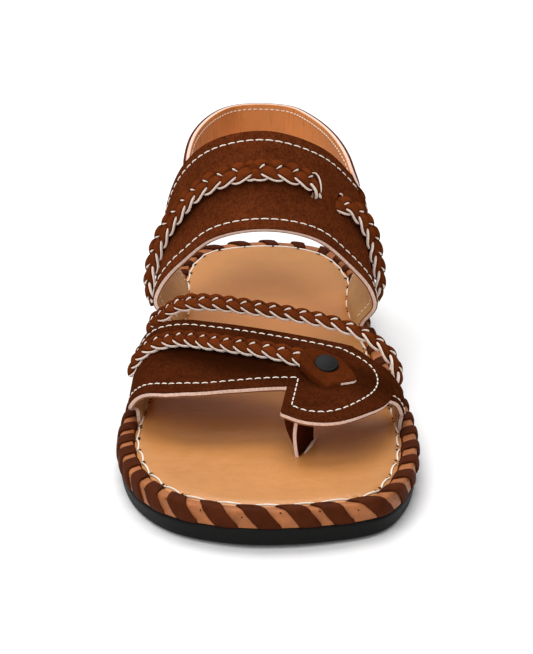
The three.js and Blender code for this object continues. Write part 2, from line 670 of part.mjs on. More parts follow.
// A path over a strap: rows of section, share of the width and lift.
function pathOnStrap(surface, rows) {
  const guide = new THREE.CatmullRomCurve3(rows.map(({ row, share, lift }) =>
    new THREE.Vector3(surface.rowShare(row) * 100, share * 10, lift)));
  const place = (w) => {
    const { x, y, z } = guide.getPoint(w);
    const { point, normal } = frameOn(surface, x / 100, y / 10);
    return { point: point.addScaledVector(normal, STRAP_WALL / 2 + GAP + z), normal };
  };
  return evenPath(place, () => 1);
}

// Spaces a path evenly by length and gives each place its frame.
function evenPath(place, squeezeAt) {
  const points = Array.from({ length: PATH_POINTS + 1 }, (_, i) => place(i / PATH_POINTS).point);
  const lengths = [0];
  for (let i = 1; i <= PATH_POINTS; i += 1) {
    lengths[i] = lengths[i - 1] + points[i].distanceTo(points[i - 1]);
  }
  const length = lengths[PATH_POINTS];
  const at = (share) => {
    const goal = share * length;
    const index = Math.max(1, lengths.findIndex((value) => value >= goal - 1e-9));
    const part = (goal - lengths[index - 1]) / (lengths[index] - lengths[index - 1]);
    const w = (index - 1 + part) / PATH_POINTS;
    const { point, normal } = place(w);
    const [before, after] = [w - 1 / PATH_POINTS, w + 1 / PATH_POINTS].map((near) =>
      place(THREE.MathUtils.clamp(near, 0, 1)).point);
    const tangent = after.sub(before).normalize();
    const side = tangent.clone().cross(normal).normalize();
    return { point, side, normal: side.clone().cross(tangent), squeeze: squeezeAt(goal, length) };
  };
  return { length, at };
}

const frontPlaitPath = () => pathOnStrap(frontSurface, FRONT_PLAIT_ROWS);
const instepPlaitPath = () => pathOnStrap(instepSurface, INSTEP_PLAIT_ROWS);

// The free plait springs from the groove on both sides, where it is pressed flat.
function middlePlaitPath() {
  const middle = ({ front, rear }) => (front + rear) / 2;
  const down = (foot) => FOOT_ROWS.map(({ out, height }) =>
    edgePoint(foot.side, middle(foot), FOOT_OUT - MIDDLE_PLAIT.inset + out, height));
  const rail = new THREE.CatmullRomCurve3([
    ...down(FEET.plaitLateral).reverse(),
    ...MIDDLE_PLAIT_ROWS.map(over),
    ...down(FEET.plaitMedial),
  ]);
  const place = (w) => {
    const point = rail.getPoint(w);
    const height = point.z - insoleTop(alongOf(point.y));
    const free = THREE.MathUtils.smoothstep(height, MIDDLE_PLAIT.leanFrom, MIDDLE_PLAIT.leanTo);
    const lean = MIDDLE_PLAIT.lean * free;
    const normal = new THREE.Vector3(
      point.x / MIDDLE_PLAIT.halfSpan, -lean, Math.max(height, 0) / MIDDLE_PLAIT.rise);
    return { point, normal: normal.normalize() };
  };
  const squeeze = (goal, length) => {
    const fromEnd = Math.min(goal, length - goal);
    const full = THREE.MathUtils.smoothstep(fromEnd, MIDDLE_PLAIT.pressedTo, MIDDLE_PLAIT.fullFrom);
    return THREE.MathUtils.lerp(MIDDLE_PLAIT.pressed, 1, full);
  };
  return evenPath(place, squeeze);
}

// The toe post: two plies glued face to face in the slot, one turned out to each side under the lobe.
const postFront = planPoint(POST_FRONT).sub(CENTRE);
const postRear = planPoint(POST_REAR).sub(CENTRE);
const UP = new THREE.Vector3(0, 0, 1);
const postSide = postRear.clone().sub(postFront).cross(UP).normalize();

// Height of the front strap's middle surface over a place in plan, by a search that closes in.
const SEARCH = { start: 0.66, reach: 0.34, steps: 5, passes: 9, closing: 0.4 };

function frontHeight(place) {
  let best = { u: SEARCH.start, v: 0.5, distance: Infinity, height: 0 };
  const stops = Array.from({ length: 2 * SEARCH.steps + 1 }, (_, i) => i / SEARCH.steps - 1);
  for (let pass = 0; pass < SEARCH.passes; pass += 1) {
    const reach = SEARCH.closing ** pass;
    const { u: middleU, v: middleV } = best;
    for (const stepU of stops) {
      for (const stepV of stops) {
        const u = THREE.MathUtils.clamp(middleU + stepU * reach * SEARCH.reach, 0, 1);
        const v = THREE.MathUtils.clamp(middleV + stepV * reach / 2, 0, 1);
        const point = frontSurface(u, v);
        const distance = Math.hypot(point.x - place.x, point.y - place.y);
        if (distance < best.distance) best = { u, v, distance, height: point.z };
      }
    }
  }
  return best.height;
}

function postGeometry() {
  const sections = POST_SECTIONS.map((share) => {
    const base = postFront.clone().lerp(postRear, share);
    const bed = insoleTop(alongOf(base.y));
    const place = (out, height) => base.clone().addScaledVector(postSide, out).setZ(height);
    const under = (out) => frontHeight(place(out, 0)) - STRAP_WALL / 2 - 2 * GAP;
    return [
      place(0, under(0)),
      place(POST_FLANGE, under(POST_FLANGE)),
      place(POST_FLANGE, under(POST_FLANGE) - PLY),
      place(PLY, under(0) - POST_NECK),
      place(PLY, bed - FOOT_DEPTH),
      place(-PLY, bed - FOOT_DEPTH),
      place(-PLY, under(0) - POST_NECK),
      place(-POST_FLANGE, under(-POST_FLANGE) - PLY),
      place(-POST_FLANGE, under(-POST_FLANGE)),
    ];
  });
  return barMesh(sections);
}

function postSlot() {
  const run = postRear.clone().sub(postFront);
  const reach = 1 + SLOT_END / run.length();
  const surface = (u, v) => {
    const share = THREE.MathUtils.lerp(1 - reach, reach, u);
    return throughInsole(postFront.clone().addScaledVector(run, share), v);
  };
  return toSolid(wallMesh(surface, ...GRID.postSlot, 2 * PLY + 2 * GAP));
}

// The tab lies on the lobe, and the rivet stands square to both.
const rivetFoot = planPoint(RIVET_PLACE).sub(CENTRE);
rivetFoot.setZ(frontHeight(rivetFoot));
const lobeSlope = (axis) => {
  const reach = RIVET.head / 2;
  const heightAt = (away) => frontHeight(rivetFoot.clone().addScaledVector(axis, away));
  return (heightAt(reach) - heightAt(-reach)) / (2 * reach);
};
const rivetAxis = new THREE.Vector3(
  -lobeSlope(new THREE.Vector3(1, 0, 0)), -lobeSlope(new THREE.Vector3(0, 1, 0)), 1).normalize();

function alongRivet(geometry) {
  const turn = new THREE.Quaternion().setFromUnitVectors(UP, rivetAxis);
  return geometry.applyQuaternion(turn).translate(...rivetFoot.toArray());
}

function rivetBore() {
  const radius = RIVET.shank / 2 + GAP;
  const bore = new THREE.CylinderGeometry(radius, radius, RIVET.bore, BORE_SIDES);
  return toSolid(alongRivet(bore.rotateX(Math.PI / 2)));
}

function tabGeometry() {
  const roundEnd = TAB.width / 2;
  const halfWidthAt = (fromEnd) => {
    const inset = Math.max(roundEnd - fromEnd, 0);
    return Math.sqrt(Math.max(roundEnd ** 2 - inset ** 2, TAB.tip ** 2));
  };
  const surface = (u, v) => {
    const run = (u - 0.5) * TAB.length + TAB_AHEAD;
    const away = new THREE.Vector3(run, (2 * v - 1) * halfWidthAt(u * TAB.length), 0);
    away.applyAxisAngle(UP, TAB_TURN);
    const place = rivetFoot.clone().add(away);
    const drop = (rivetAxis.x * away.x + rivetAxis.y * away.y) / rivetAxis.z;
    return place.setZ(rivetFoot.z - drop + (STRAP_WALL + TAB.thickness) / 2 + GAP);
  };
  return toGeometry(toSolid(wallMesh(surface, ...GRID.tab, TAB.thickness)).subtract(rivetBore()));
}

function rivetGeometry() {
  const under = STRAP_WALL / 2 + TAB.thickness + 2 * GAP;
  const dome = new THREE.QuadraticBezierCurve(
    new THREE.Vector2(RIVET.head / 2, under + RIVET.rim),
    new THREE.Vector2(RIVET.head / 2 - RIVET.shoulder, under + RIVET.dome),
    new THREE.Vector2(0, under + RIVET.dome),
  );
  const profile = [
    new THREE.Vector2(0, -STRAP_WALL / 2),
    new THREE.Vector2(RIVET.shank / 2, -STRAP_WALL / 2),
    new THREE.Vector2(RIVET.shank / 2, under),
    new THREE.Vector2(RIVET.head / 2, under),
    ...dome.getPoints(DOME_STEPS),
  ];
  return alongRivet(new THREE.LatheGeometry(profile, RIVET_SIDES).rotateX(Math.PI / 2));
}

// The sandal.
const sandal = new THREE.Group();
const pieces = [
  ['outsole', outsoleGeometry(), RUBBER],
  ['insole', insoleGeometry(), TAN],
  ['rand', randGeometry(), RAND_TAN],
  ['edge_lacing', lacingGeometry(), LACE_BROWN],
  ['front_strap', frontStrapGeometry(), SUEDE],
  ['toe_post', postGeometry(), SUEDE],
  ['instep_strap', instepStrapGeometry(), SUEDE],
  ['front_braid', plaitMesh(frontPlaitPath()), PLAIT_SUEDE],
  ['middle_braid', plaitMesh(middlePlaitPath()), PLAIT_SUEDE],
  ['instep_braid', plaitMesh(instepPlaitPath()), PLAIT_SUEDE],
  ['braid_tab', tabGeometry(), SUEDE],
  ['rivet', rivetGeometry(), RIVET_BLACK],
];
for (const [name, geometry, material] of pieces) {
  const mesh = new THREE.Mesh(geometry, material);
  mesh.name = name;
  sandal.add(mesh);
}

export default sandal;
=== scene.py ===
import math
from collections import namedtuple
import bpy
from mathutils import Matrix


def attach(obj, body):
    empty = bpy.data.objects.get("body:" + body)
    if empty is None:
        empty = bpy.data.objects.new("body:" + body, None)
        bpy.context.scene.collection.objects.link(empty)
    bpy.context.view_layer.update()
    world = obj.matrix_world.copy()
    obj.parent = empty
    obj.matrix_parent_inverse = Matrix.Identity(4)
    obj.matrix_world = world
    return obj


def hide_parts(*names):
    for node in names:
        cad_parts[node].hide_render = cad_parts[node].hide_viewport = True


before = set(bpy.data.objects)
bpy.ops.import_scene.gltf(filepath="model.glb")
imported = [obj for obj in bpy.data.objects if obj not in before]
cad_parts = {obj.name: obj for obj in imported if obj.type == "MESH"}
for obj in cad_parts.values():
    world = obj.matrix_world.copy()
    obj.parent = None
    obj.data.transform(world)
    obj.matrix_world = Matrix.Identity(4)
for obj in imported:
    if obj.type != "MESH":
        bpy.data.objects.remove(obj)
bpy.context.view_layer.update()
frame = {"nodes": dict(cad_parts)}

from types import SimpleNamespace

import bpy
import numpy as np
from mathutils import Vector

bl_info = {
    "name": "Plaited Strap Sandal",
    "version": (1, 0, 0),
    "blender": (4, 5, 0),
    "location": "3D View > Sidebar > Sandal",
    "description": "Dresses the sandal's solids in leather, suede, plaits and stitching",
    "category": "Object",
}

# Shapes are worked out in millimetres and become metres when a mesh is made.
MM = 0.001
TINY = 1e-6
ALMOST_ZERO = 1e-12
BODY = "root"

# Driving sizes, as in the solids. The toe's underside is a little lower here.
LAST_LENGTH = 282.0
BALL_WIDTH = 106.0
INSTEP_HEIGHT = 75.6
HEEL_LIFT = 5.0
TOE_SPRING = 1.5
TOE_THICKENING = 0.3  # of the outsole
ARCH_RELIEF = 3.5
HEEL_BEVEL = 1.2
OUTSOLE_THICKNESS = 6.0
INSOLE_RISE = 6.95  # insole top over the outsole
LACE_REACH = 7.02  # outside of the lace, out from the seam

# Places along the last, in percent from the toe.
TOE_ROLL = 17.0
WAIST = (36.0, 74.0)
ARCH = (42.0, 70.0)
HEEL_ROLL = 95.0

# Sole edge, in millimetres out from the seam round the insole and over its top.
RAND_TOP = -0.5
RAND_HEIGHT = 6.3
RAND_INNER = 0.9
RAND_OUTER = 5.75
RAND_CORNER = 1.5
RAND_BEVEL = 0.5  # at its inner edge
RAND_SECTIONS = 600
LACE_WRAPS = 50
OUTSOLE_OUTER = 5.8
OUTSOLE_DRAFT = 0.6

# Straps.
FOOT_DEPTH = 6.2
FOOT_OUT = 0.3
HEEL_STRAP_DEPTH = 26.0
HEEL_STRAP_TAPER = 0.7  # how much of its depth it loses at its ends
HEEL_STRAP_TAPERS = (0.38, 0.5)  # between these shares of its length from the middle
PLAIT_MIDDLE = 2.3  # a plait's middle over the strap
PLAIT_LAG = 0.75  # how late a strip comes up and goes down, in radians of its double turn
PLAIT_BANK = 0.3  # how far a strip turns outwards at the border, as a slope
GAP = 0.35  # between pieces that touch

# In the tables along is percent of the last's length from the toe, across is percent of the ball
# width towards the medial side, and up is percent of the instep height over the insole.
SeamRow = namedtuple("SeamRow", "along lateral medial")
Foot = namedtuple("Foot", "side front rear")
Step = namedtuple("Step", "out height")
Section = namedtuple("Section", "front rear swell")
Place = namedtuple("Place", "along across up", defaults=(0.0,))
OnStrap = namedtuple("OnStrap", "row share lift")
Pitch = namedtuple("Pitch", "share lobe")
Dent = namedtuple("Dent", "x y wide long depth")
Crease = namedtuple("Crease", "row share wide long depth")

TOE_END = Place(1.3, -1.5)
HEEL_END = Place(97.5, -0.6)
SEAM_ROWS = [
    SeamRow(2.4, -14.8, 17.8),
    SeamRow(5.2, -26.4, 32.4),
    SeamRow(11.2, -36.2, 39.6),
    SeamRow(22.0, -42.6, 43.8),
    SeamRow(36.0, -41.3, 42.3),
    SeamRow(53.2, -34.8, 36.0),
    SeamRow(69.1, -29.0, 30.2),
    SeamRow(82.3, -29.6, 30.5),
    SeamRow(91.5, -25.8, 24.0),
    SeamRow(95.6, -18.0, 15.8),
]
FEET = {
    "front_lateral": Foot("lateral", 31.4, 48.5),
    "under_medial": Foot("medial", 28.4, 33.6),
    "plait_lateral": Foot("lateral", 50.6, 54.6),
    "plait_medial": Foot("medial", 36.2, 40.2),
    "instep_lateral": Foot("lateral", 60.0, 76.5),
    "instep_medial": Foot("medial", 60.5, 76.5),
}
FOOT_STEPS = [Step(0.5, 3.2), Step(0.0, 0.0), Step(0.0, -FOOT_DEPTH)]

# Straps run from the lateral to the medial side.
FRONT_STRAP_ROWS = [
    Section((29.8, -45.2, 6.9), (47.5, -42.9, 9.3), 0.0),
    Section((28.0, -43.2, 13.5), (46.5, -41.5, 18.0), 0.0),
    Section((25.9, -39.2, 18.8), (45.4, -36.8, 26.2), 0.4),
    Section((23.4, -31.1, 21.8), (44.1, -28.3, 30.3), 0.8),
    Section((19.1, -18.9, 21.7), (42.9, -18.9, 30.8), 1.2),
    Section((15.6, -4.7, 19.8), (40.8, -6.6, 31.5), 1.8),
    Section((13.8, 9.4, 17.9), (38.3, 7.5, 31.5), 2.2),
    Section((13.1, 23.6, 16.1), (36.2, 18.9, 31.1), 2.5),
    Section((13.5, 34.0, 13.9), (34.8, 31.1, 28.4), 2.5),
    Section((14.9, 42.5, 9.9), (34.0, 42.5, 19.8), 2.5),
]
UNDER_STRAP_ROWS = [
    Section((23.8, 29.2, 20.0), (30.9, 28.3, 25.6), 0.8),
    Section((25.2, 37.7, 17.0), (33.5, 36.8, 23.2), 0.5),
    Section((26.6, 42.7, 13.2), (33.5, 42.7, 15.0), 0.0),
    Section((27.7, 44.6, 6.6), (33.0, 45.0, 6.9), 0.0),
]
INSTEP_STRAP_ROWS = [
    Section((58.2, -38.9, 18.5), (73.8, -36.0, 26.5), 0.0),
    Section((57.4, -37.3, 27.8), (72.3, -35.2, 48.9), 0.0),
    Section((56.0, -29.7, 43.0), (69.9, -29.0, 74.1), 0.0),
    Section((54.6, -17.9, 57.3), (67.0, -17.9, 90.8), 0.0),
    Section((53.0, 0.0, 64.0), (65.1, 0.0, 97.5), 0.0),
    Section((54.3, 17.5, 57.1), (66.5, 17.0, 88.7), 0.0),
    Section((56.0, 28.8, 41.7), (69.7, 27.0, 73.6), 0.0),
    Section((57.5, 36.9, 25.8), (72.0, 34.6, 52.9), 0.0),
    Section((58.6, 38.0, 16.0), (73.8, 35.8, 26.5), 0.0),
]
HEEL_STRAP_ROWS = [
    Place(68.5, -28.8, 71.5),
    Place(72.5, -28.4, 77.5),
    Place(79.0, -25.9, 82.0),
    Place(87.0, -19.0, 83.8),
    Place(91.4, -11.4, 83.4),
    Place(92.5, -0.9, 83.1),
    Place(91.4, 8.6, 82.8),
    Place(87.0, 15.6, 82.8),
    Place(79.0, 23.8, 81.4),
    Place(72.8, 28.8, 76.8),
    Place(70.4, 31.2, 70.0),
    Place(69.7, 33.2, 64.0),
    Place(70.0, 35.0, 58.5),
]
BAND_FRONT = [
    Place(24.2, -34.0),
    Place(23.4, -29.5),
    Place(22.9, -24.0),
    Place(22.8, -20.0),
    Place(23.1, -12.0),
    Place(23.1, -2.7),
    Place(23.2, 6.6),
]
LOBE_ROWS = [
    Place(17.2, 4.4),
    Place(15.7, 12.0),
    Place(15.4, 20.5),
    Place(17.0, 29.5),
    Place(21.0, 37.8),
    Place(26.0, 41.4),
    Place(30.6, 39.2),
    Place(34.8, 29.0),
]

# Plaits over a strap: row is the strap's section, share runs from its front to its rear edge, and
# lift is millimetres over it. The free plait has places of its own.
FRONT_PLAIT_ROWS = [
    OnStrap(0.35, 0.6, -1.6),
    OnStrap(1.0, 0.61, -1.2),
    OnStrap(2.0, 0.62, -0.5),
    OnStrap(3.0, 0.64, 0.0),
    OnStrap(4.0, 0.66, 0.0),
    OnStrap(5.0, 0.67, 0.0),
    OnStrap(6.0, 0.66, -0.2),
    OnStrap(6.4, 0.645, -1.2),
    OnStrap(6.7, 0.63, -1.9),
]
INSTEP_PLAIT_ROWS = [
    OnStrap(-0.25, 0.22, 0.2),
    OnStrap(0.4, 0.3, 0.2),
    OnStrap(1.0, 0.38, 0.35),
    OnStrap(2.0, 0.46, 0.7),
    OnStrap(3.0, 0.52, 0.8),
    OnStrap(4.0, 0.56, 0.7),
    OnStrap(4.72, 0.55, 0.3),
    OnStrap(5.22, 0.54, -6.9),
    OnStrap(5.5, 0.54, -6.9),
    OnStrap(6.0, 0.545, 0.4),
    OnStrap(7.0, 0.47, 0.5),
    OnStrap(8.0, 0.36, 0.15),
    OnStrap(8.8, 0.26, 0.2),
]
MIDDLE_PLAIT_ROWS = [
    Place(52.1, -38.9, 13.4),
    Place(50.0, -34.2, 22.4),
    Place(48.2, -28.5, 30.2),
    Place(46.5, -18.9, 33.2),
    Place(45.0, -6.6, 33.0),
    Place(43.3, 7.5, 32.0),
    Place(41.5, 22.6, 29.8),
    Place(39.9, 33.6, 25.7),
    Place(38.6, 41.0, 18.0),
    Place(38.0, 43.9, 9.8),
]
MIDDLE_PLAIT_ARCH = (30.0, 18.0)  # half span and rise of the arch that its face looks out from
MIDDLE_PLAIT_LEAN = (0.15, 3.0, 16.0)  # lean to the toe, and the heights between which it sets in
MIDDLE_PLAIT_INSET = 1.1
MIDDLE_PLAIT_LIFT = 1.5
MIDDLE_PLAIT_SEAT = 0.3  # how far it stands off in the groove, as a share of PLAIT_MIDDLE

# Length of one lobe along each plait.
FRONT_LOBES = [Pitch(0.0, 4.4), Pitch(0.45, 4.6), Pitch(1.0, 6.6)]
MIDDLE_LOBES = [Pitch(0.0, 4.8), Pitch(0.45, 5.4), Pitch(1.0, 6.8)]
INSTEP_LOBES = [Pitch(0.0, 6.0), Pitch(1.0, 6.4)]

# Toe post, tab and rivet.
POST_FRONT = Place(17.9, 10.1)
POST_REAR = Place(24.1, 14.9)
RIVET_PLACE = Place(26.6, 19.6)
POST_HALF = 0.62


def srgb(red, green, blue):
    """A colour given in 0 to 255 display values, as linear light."""
    shares = [value / 255 for value in (red, green, blue)]
    return tuple(s / 12.92 if s <= 0.04045 else ((s + 0.055) / 1.055) ** 2.4 for s in shares)


def colour_property(name, description, red, green, blue):
    return bpy.props.FloatVectorProperty(
        name=name, description=description, subtype="COLOR", size=3, min=0, max=1,
        default=srgb(red, green, blue))


def size_property(name, description, millimetres):
    return bpy.props.FloatProperty(
        name=name, description=description, default=millimetres * MM, min=0, precision=5, unit="LENGTH")


class SandalSizes(bpy.types.PropertyGroup):
    """Sizes that change the looks but not the sandal's own dimensions."""

    strap_wall: size_property("Strap wall", "Thickness of a lined strap", 2.4)
    edge_round: size_property("Edge rounding", "Rounding of a strap's cut edge", 0.45)
    lace_width: size_property("Lace width", "Width of the flat lace", 7.3)
    lace_thickness: size_property("Lace thickness", "Thickness of the flat lace", 0.95)
    strip_width: size_property("Strip width", "Width of one strip of a plait", 4.5)
    strip_thickness: size_property("Strip thickness", "Thickness of one strip of a plait", 1.15)
    strip_crown: size_property("Strip crown", "How far a strip is domed", 0.55)
    plait_spread: size_property("Plait spread", "How far a strip swings to each side", 2.7)
    plait_rise: size_property("Plait rise", "How far a strip rises and dips", 1.15)
    plait_dome: size_property("Plait dome", "How far a plait falls off to its borders", 1.15)
    cut_edge: size_property("Cut edge", "Width of the pale edge of a strip", 0.55)
    stitch_inset: size_property("Stitch inset", "Distance from a strap's edge to its stitches", 4.4)
    strap_stitch: size_property("Strap stitch", "Pitch of the stitches on the straps", 3.7)
    strap_thread: size_property("Strap thread", "Thickness of the thread on the straps", 0.46)
    sole_stitch: size_property("Sole stitch", "Length of the stitches round the insole", 10.2)
    sole_thread: size_property("Sole thread", "Thickness of the thread round the insole", 0.7)


class SandalColours(bpy.types.PropertyGroup):
    """Colours of the leathers, threads and rubber."""

    insole: colour_property("Insole", "Tan leather under the foot", 200, 135, 73)
    rand: colour_property("Rand", "Tan leather round the edge", 171, 105, 63)
    lace: colour_property("Lace", "Dark flat lace", 76, 34, 15)
    instep: colour_property("Instep suede", "Suede of the instep and heel straps", 89, 41, 18)
    front: colour_property("Front suede", "Suede of the front strap", 69, 30, 12)
    plait: colour_property("Plait suede", "Suede strips of the plaits", 99, 45, 18)
    # The straps' lining is the heel lining's leather made greyer, as painted shade inside the straps.
    lining: colour_property("Lining", "Tan lining inside the straps", 202, 158, 103)
    heel_lining: colour_property("Heel lining", "Tan lining inside the heel strap", 224, 148, 86)
    raw_edge: colour_property("Raw edge", "Pale core of the cut straps", 240, 210, 195)
    # The plaits' edge colour is the raw edge made paler: painted light for edges that face down into
    # shade.
    strip_edge: colour_property("Strip edge", "Pale core of the plaited strips", 255, 230, 215)
    thread: colour_property("Thread", "Cream sewing thread", 252, 242, 228)
    rubber: colour_property("Rubber", "Black outsole", 15, 15, 14)
    rivet: colour_property("Rivet", "Black enamel of the rivet", 11, 11, 11)


class StageSettings(bpy.types.PropertyGroup):
    """Camera and studio light."""

    distance: bpy.props.FloatProperty(
        name="Camera distance", description="From the sandal's middle", unit="LENGTH", default=1.3)
    elevation: bpy.props.FloatProperty(
        name="Camera elevation", description="Above the horizon", subtype="ANGLE",
        default=math.radians(19.07))
    lens: bpy.props.FloatProperty(
        name="Lens", description="Focal length", unit="CAMERA", default=189.1)
    key_power: bpy.props.FloatProperty(
        name="Key light", description="Power of the light over the camera", unit="POWER", default=16.8)
    back_power: bpy.props.FloatProperty(
        name="Back light", description="Power of the light over the heel", unit="POWER", default=17.2)
    surround: bpy.props.FloatProperty(
        name="Surround", description="Strength of the white surround", subtype="FACTOR", min=0, max=1,
        default=0.3)


def sizes_in_mm():
    """The sizes that the sidebar holds in metres, as millimetres."""
    group = bpy.context.scene.sandal_sizes
    return SimpleNamespace(**{key: getattr(group, key) / MM for key in SandalSizes.__annotations__})


# Curves, and the heights of the sole.
def smoothstep(value, low, high):
    share = np.clip((np.asarray(value, float) - low) / (high - low), 0, 1)
    return share * share * (3 - 2 * share)


def unit(vectors):
    return vectors / np.maximum(np.linalg.norm(vectors, axis=-1, keepdims=True), ALMOST_ZERO)


def curve_through(points, closed=False):
    """A smooth curve through points, as a function of the share along it."""
    points = np.asarray(points, float)
    count = len(points)
    padded = np.vstack([2 * points[0] - points[1], points, 2 * points[-1] - points[-2]])

    def at(share):
        share = np.atleast_1d(np.asarray(share, float))
        if closed:
            place = (share % 1) * count
            index = np.floor(place).astype(int)
            corners = [points[(index + k) % count] for k in (-1, 0, 1, 2)]
        else:
            place = np.clip(share, 0, 1) * (count - 1)
            index = np.minimum(np.floor(place).astype(int), count - 2)
            corners = [padded[index + k] for k in range(4)]
        before, start, end, after = corners

        def knot(a, b):
            return np.maximum(np.sum((b - a) ** 2, axis=1) ** 0.25, 1e-4)[:, None]

        lead, span, tail = knot(before, start), knot(start, end), knot(end, after)
        leave = (start - before) / lead - (end - before) / (lead + span) + (end - start) / span
        reach = (end - start) / span - (after - start) / (span + tail) + (after - end) / tail
        leave, reach = leave * span, reach * span
        part = (place - index)[:, None]
        square = -3 * start + 3 * end - 2 * leave - reach
        cube = 2 * start - 2 * end + leave + reach
        return start + part * (leave + part * (square + part * cube))

    return at


def plan(place):
    return np.array([place.across / 100 * BALL_WIDTH, place.along / 100 * LAST_LENGTH])


SEAM = curve_through(
    [plan(TOE_END)]
    + [plan(Place(row.along, row.medial)) for row in SEAM_ROWS]
    + [plan(HEEL_END)]
    + [plan(Place(row.along, row.lateral)) for row in reversed(SEAM_ROWS)], closed=True)
SEAM_SHARES = np.linspace(0, 1, 4801)
SEAM_LINE = SEAM(SEAM_SHARES)
SEAM_RUN = np.concatenate([[0], np.cumsum(np.linalg.norm(np.diff(SEAM_LINE, axis=0), axis=1))])
SEAM_LENGTH = SEAM_RUN[-1]


def offset_plan(share, out):
    """Points beside the seam in plan, before they are centred."""
    step = 1e-4
    run = unit(SEAM(np.asarray(share) + step) - SEAM(np.asarray(share) - step))
    outward = np.stack([run[:, 1], -run[:, 0]], axis=1)
    return SEAM(share) + outward * np.reshape(np.asarray(out, float), (-1, 1))


OUTLINE = offset_plan(np.linspace(0, 1, 400, endpoint=False), LACE_REACH)
CENTRE = (OUTLINE.min(0) + OUTLINE.max(0)) / 2


def along_of(y):
    return (np.asarray(y, float) + CENTRE[1]) / LAST_LENGTH * 100


def ground_height(along):
    toe = (TOE_SPRING - TOE_THICKENING) * np.clip((TOE_ROLL - along) / TOE_ROLL, 0, None) ** 2
    heel = HEEL_BEVEL * np.clip((along - HEEL_ROLL) / (100 - HEEL_ROLL), 0, None) ** 2
    in_arch = np.clip((along - ARCH[0]) / (ARCH[1] - ARCH[0]), 0, 1)
    return toe + heel + ARCH_RELIEF * np.sin(np.pi * in_arch) ** 2


def outsole_top(along):
    toe = TOE_SPRING * np.clip((TOE_ROLL - along) / TOE_ROLL, 0, None) ** 2
    return OUTSOLE_THICKNESS + toe + HEEL_LIFT * smoothstep(along, *WAIST)


def insole_top(along):
    return outsole_top(along) + INSOLE_RISE


def share_at_length(part):
    return np.interp((np.asarray(part, float) % 1) * SEAM_LENGTH, SEAM_RUN, SEAM_SHARES)


def beside_seam(share, out, height):
    """Points at a share of the seam, out from it and over the insole."""
    flat = offset_plan(share, out) - CENTRE
    return np.column_stack([flat, insole_top(along_of(flat[:, 1])) + height])


def edge_at_length(part, out, height):
    """Points at a part of the seam's length, out from it and over the insole."""
    return beside_seam(share_at_length(part), out, height)


def seam_share(side, along):
    """The seam's share at a place along one side of the sole."""
    half = len(SEAM_SHARES) // 2
    pick = slice(0, half) if side == "medial" else slice(len(SEAM_SHARES) - 1, half, -1)
    return np.interp(np.asarray(along) * LAST_LENGTH / 100, SEAM_LINE[pick, 1], SEAM_SHARES[pick])


def edge_point(side, along, out, height):
    """Points at a place along one side of the sole, out from the seam and over the insole."""
    return beside_seam(seam_share(side, np.atleast_1d(along)), out, height)


def over(place):
    """A point over the insole from a row of a table."""
    height = insole_top(place.along) + place.up / 100 * INSTEP_HEIGHT
    return np.append(plan(place) - CENTRE, height)


SEEDS_FROM = 0.3  # share of a strap from which places are looked for
SEED_COLUMNS, SEED_ROWS = 90, 60
LOCATE_STEPS = 6


def as_pairs(u, v):
    return np.broadcast_arrays(np.atleast_1d(u).astype(float), np.atleast_1d(v).astype(float))


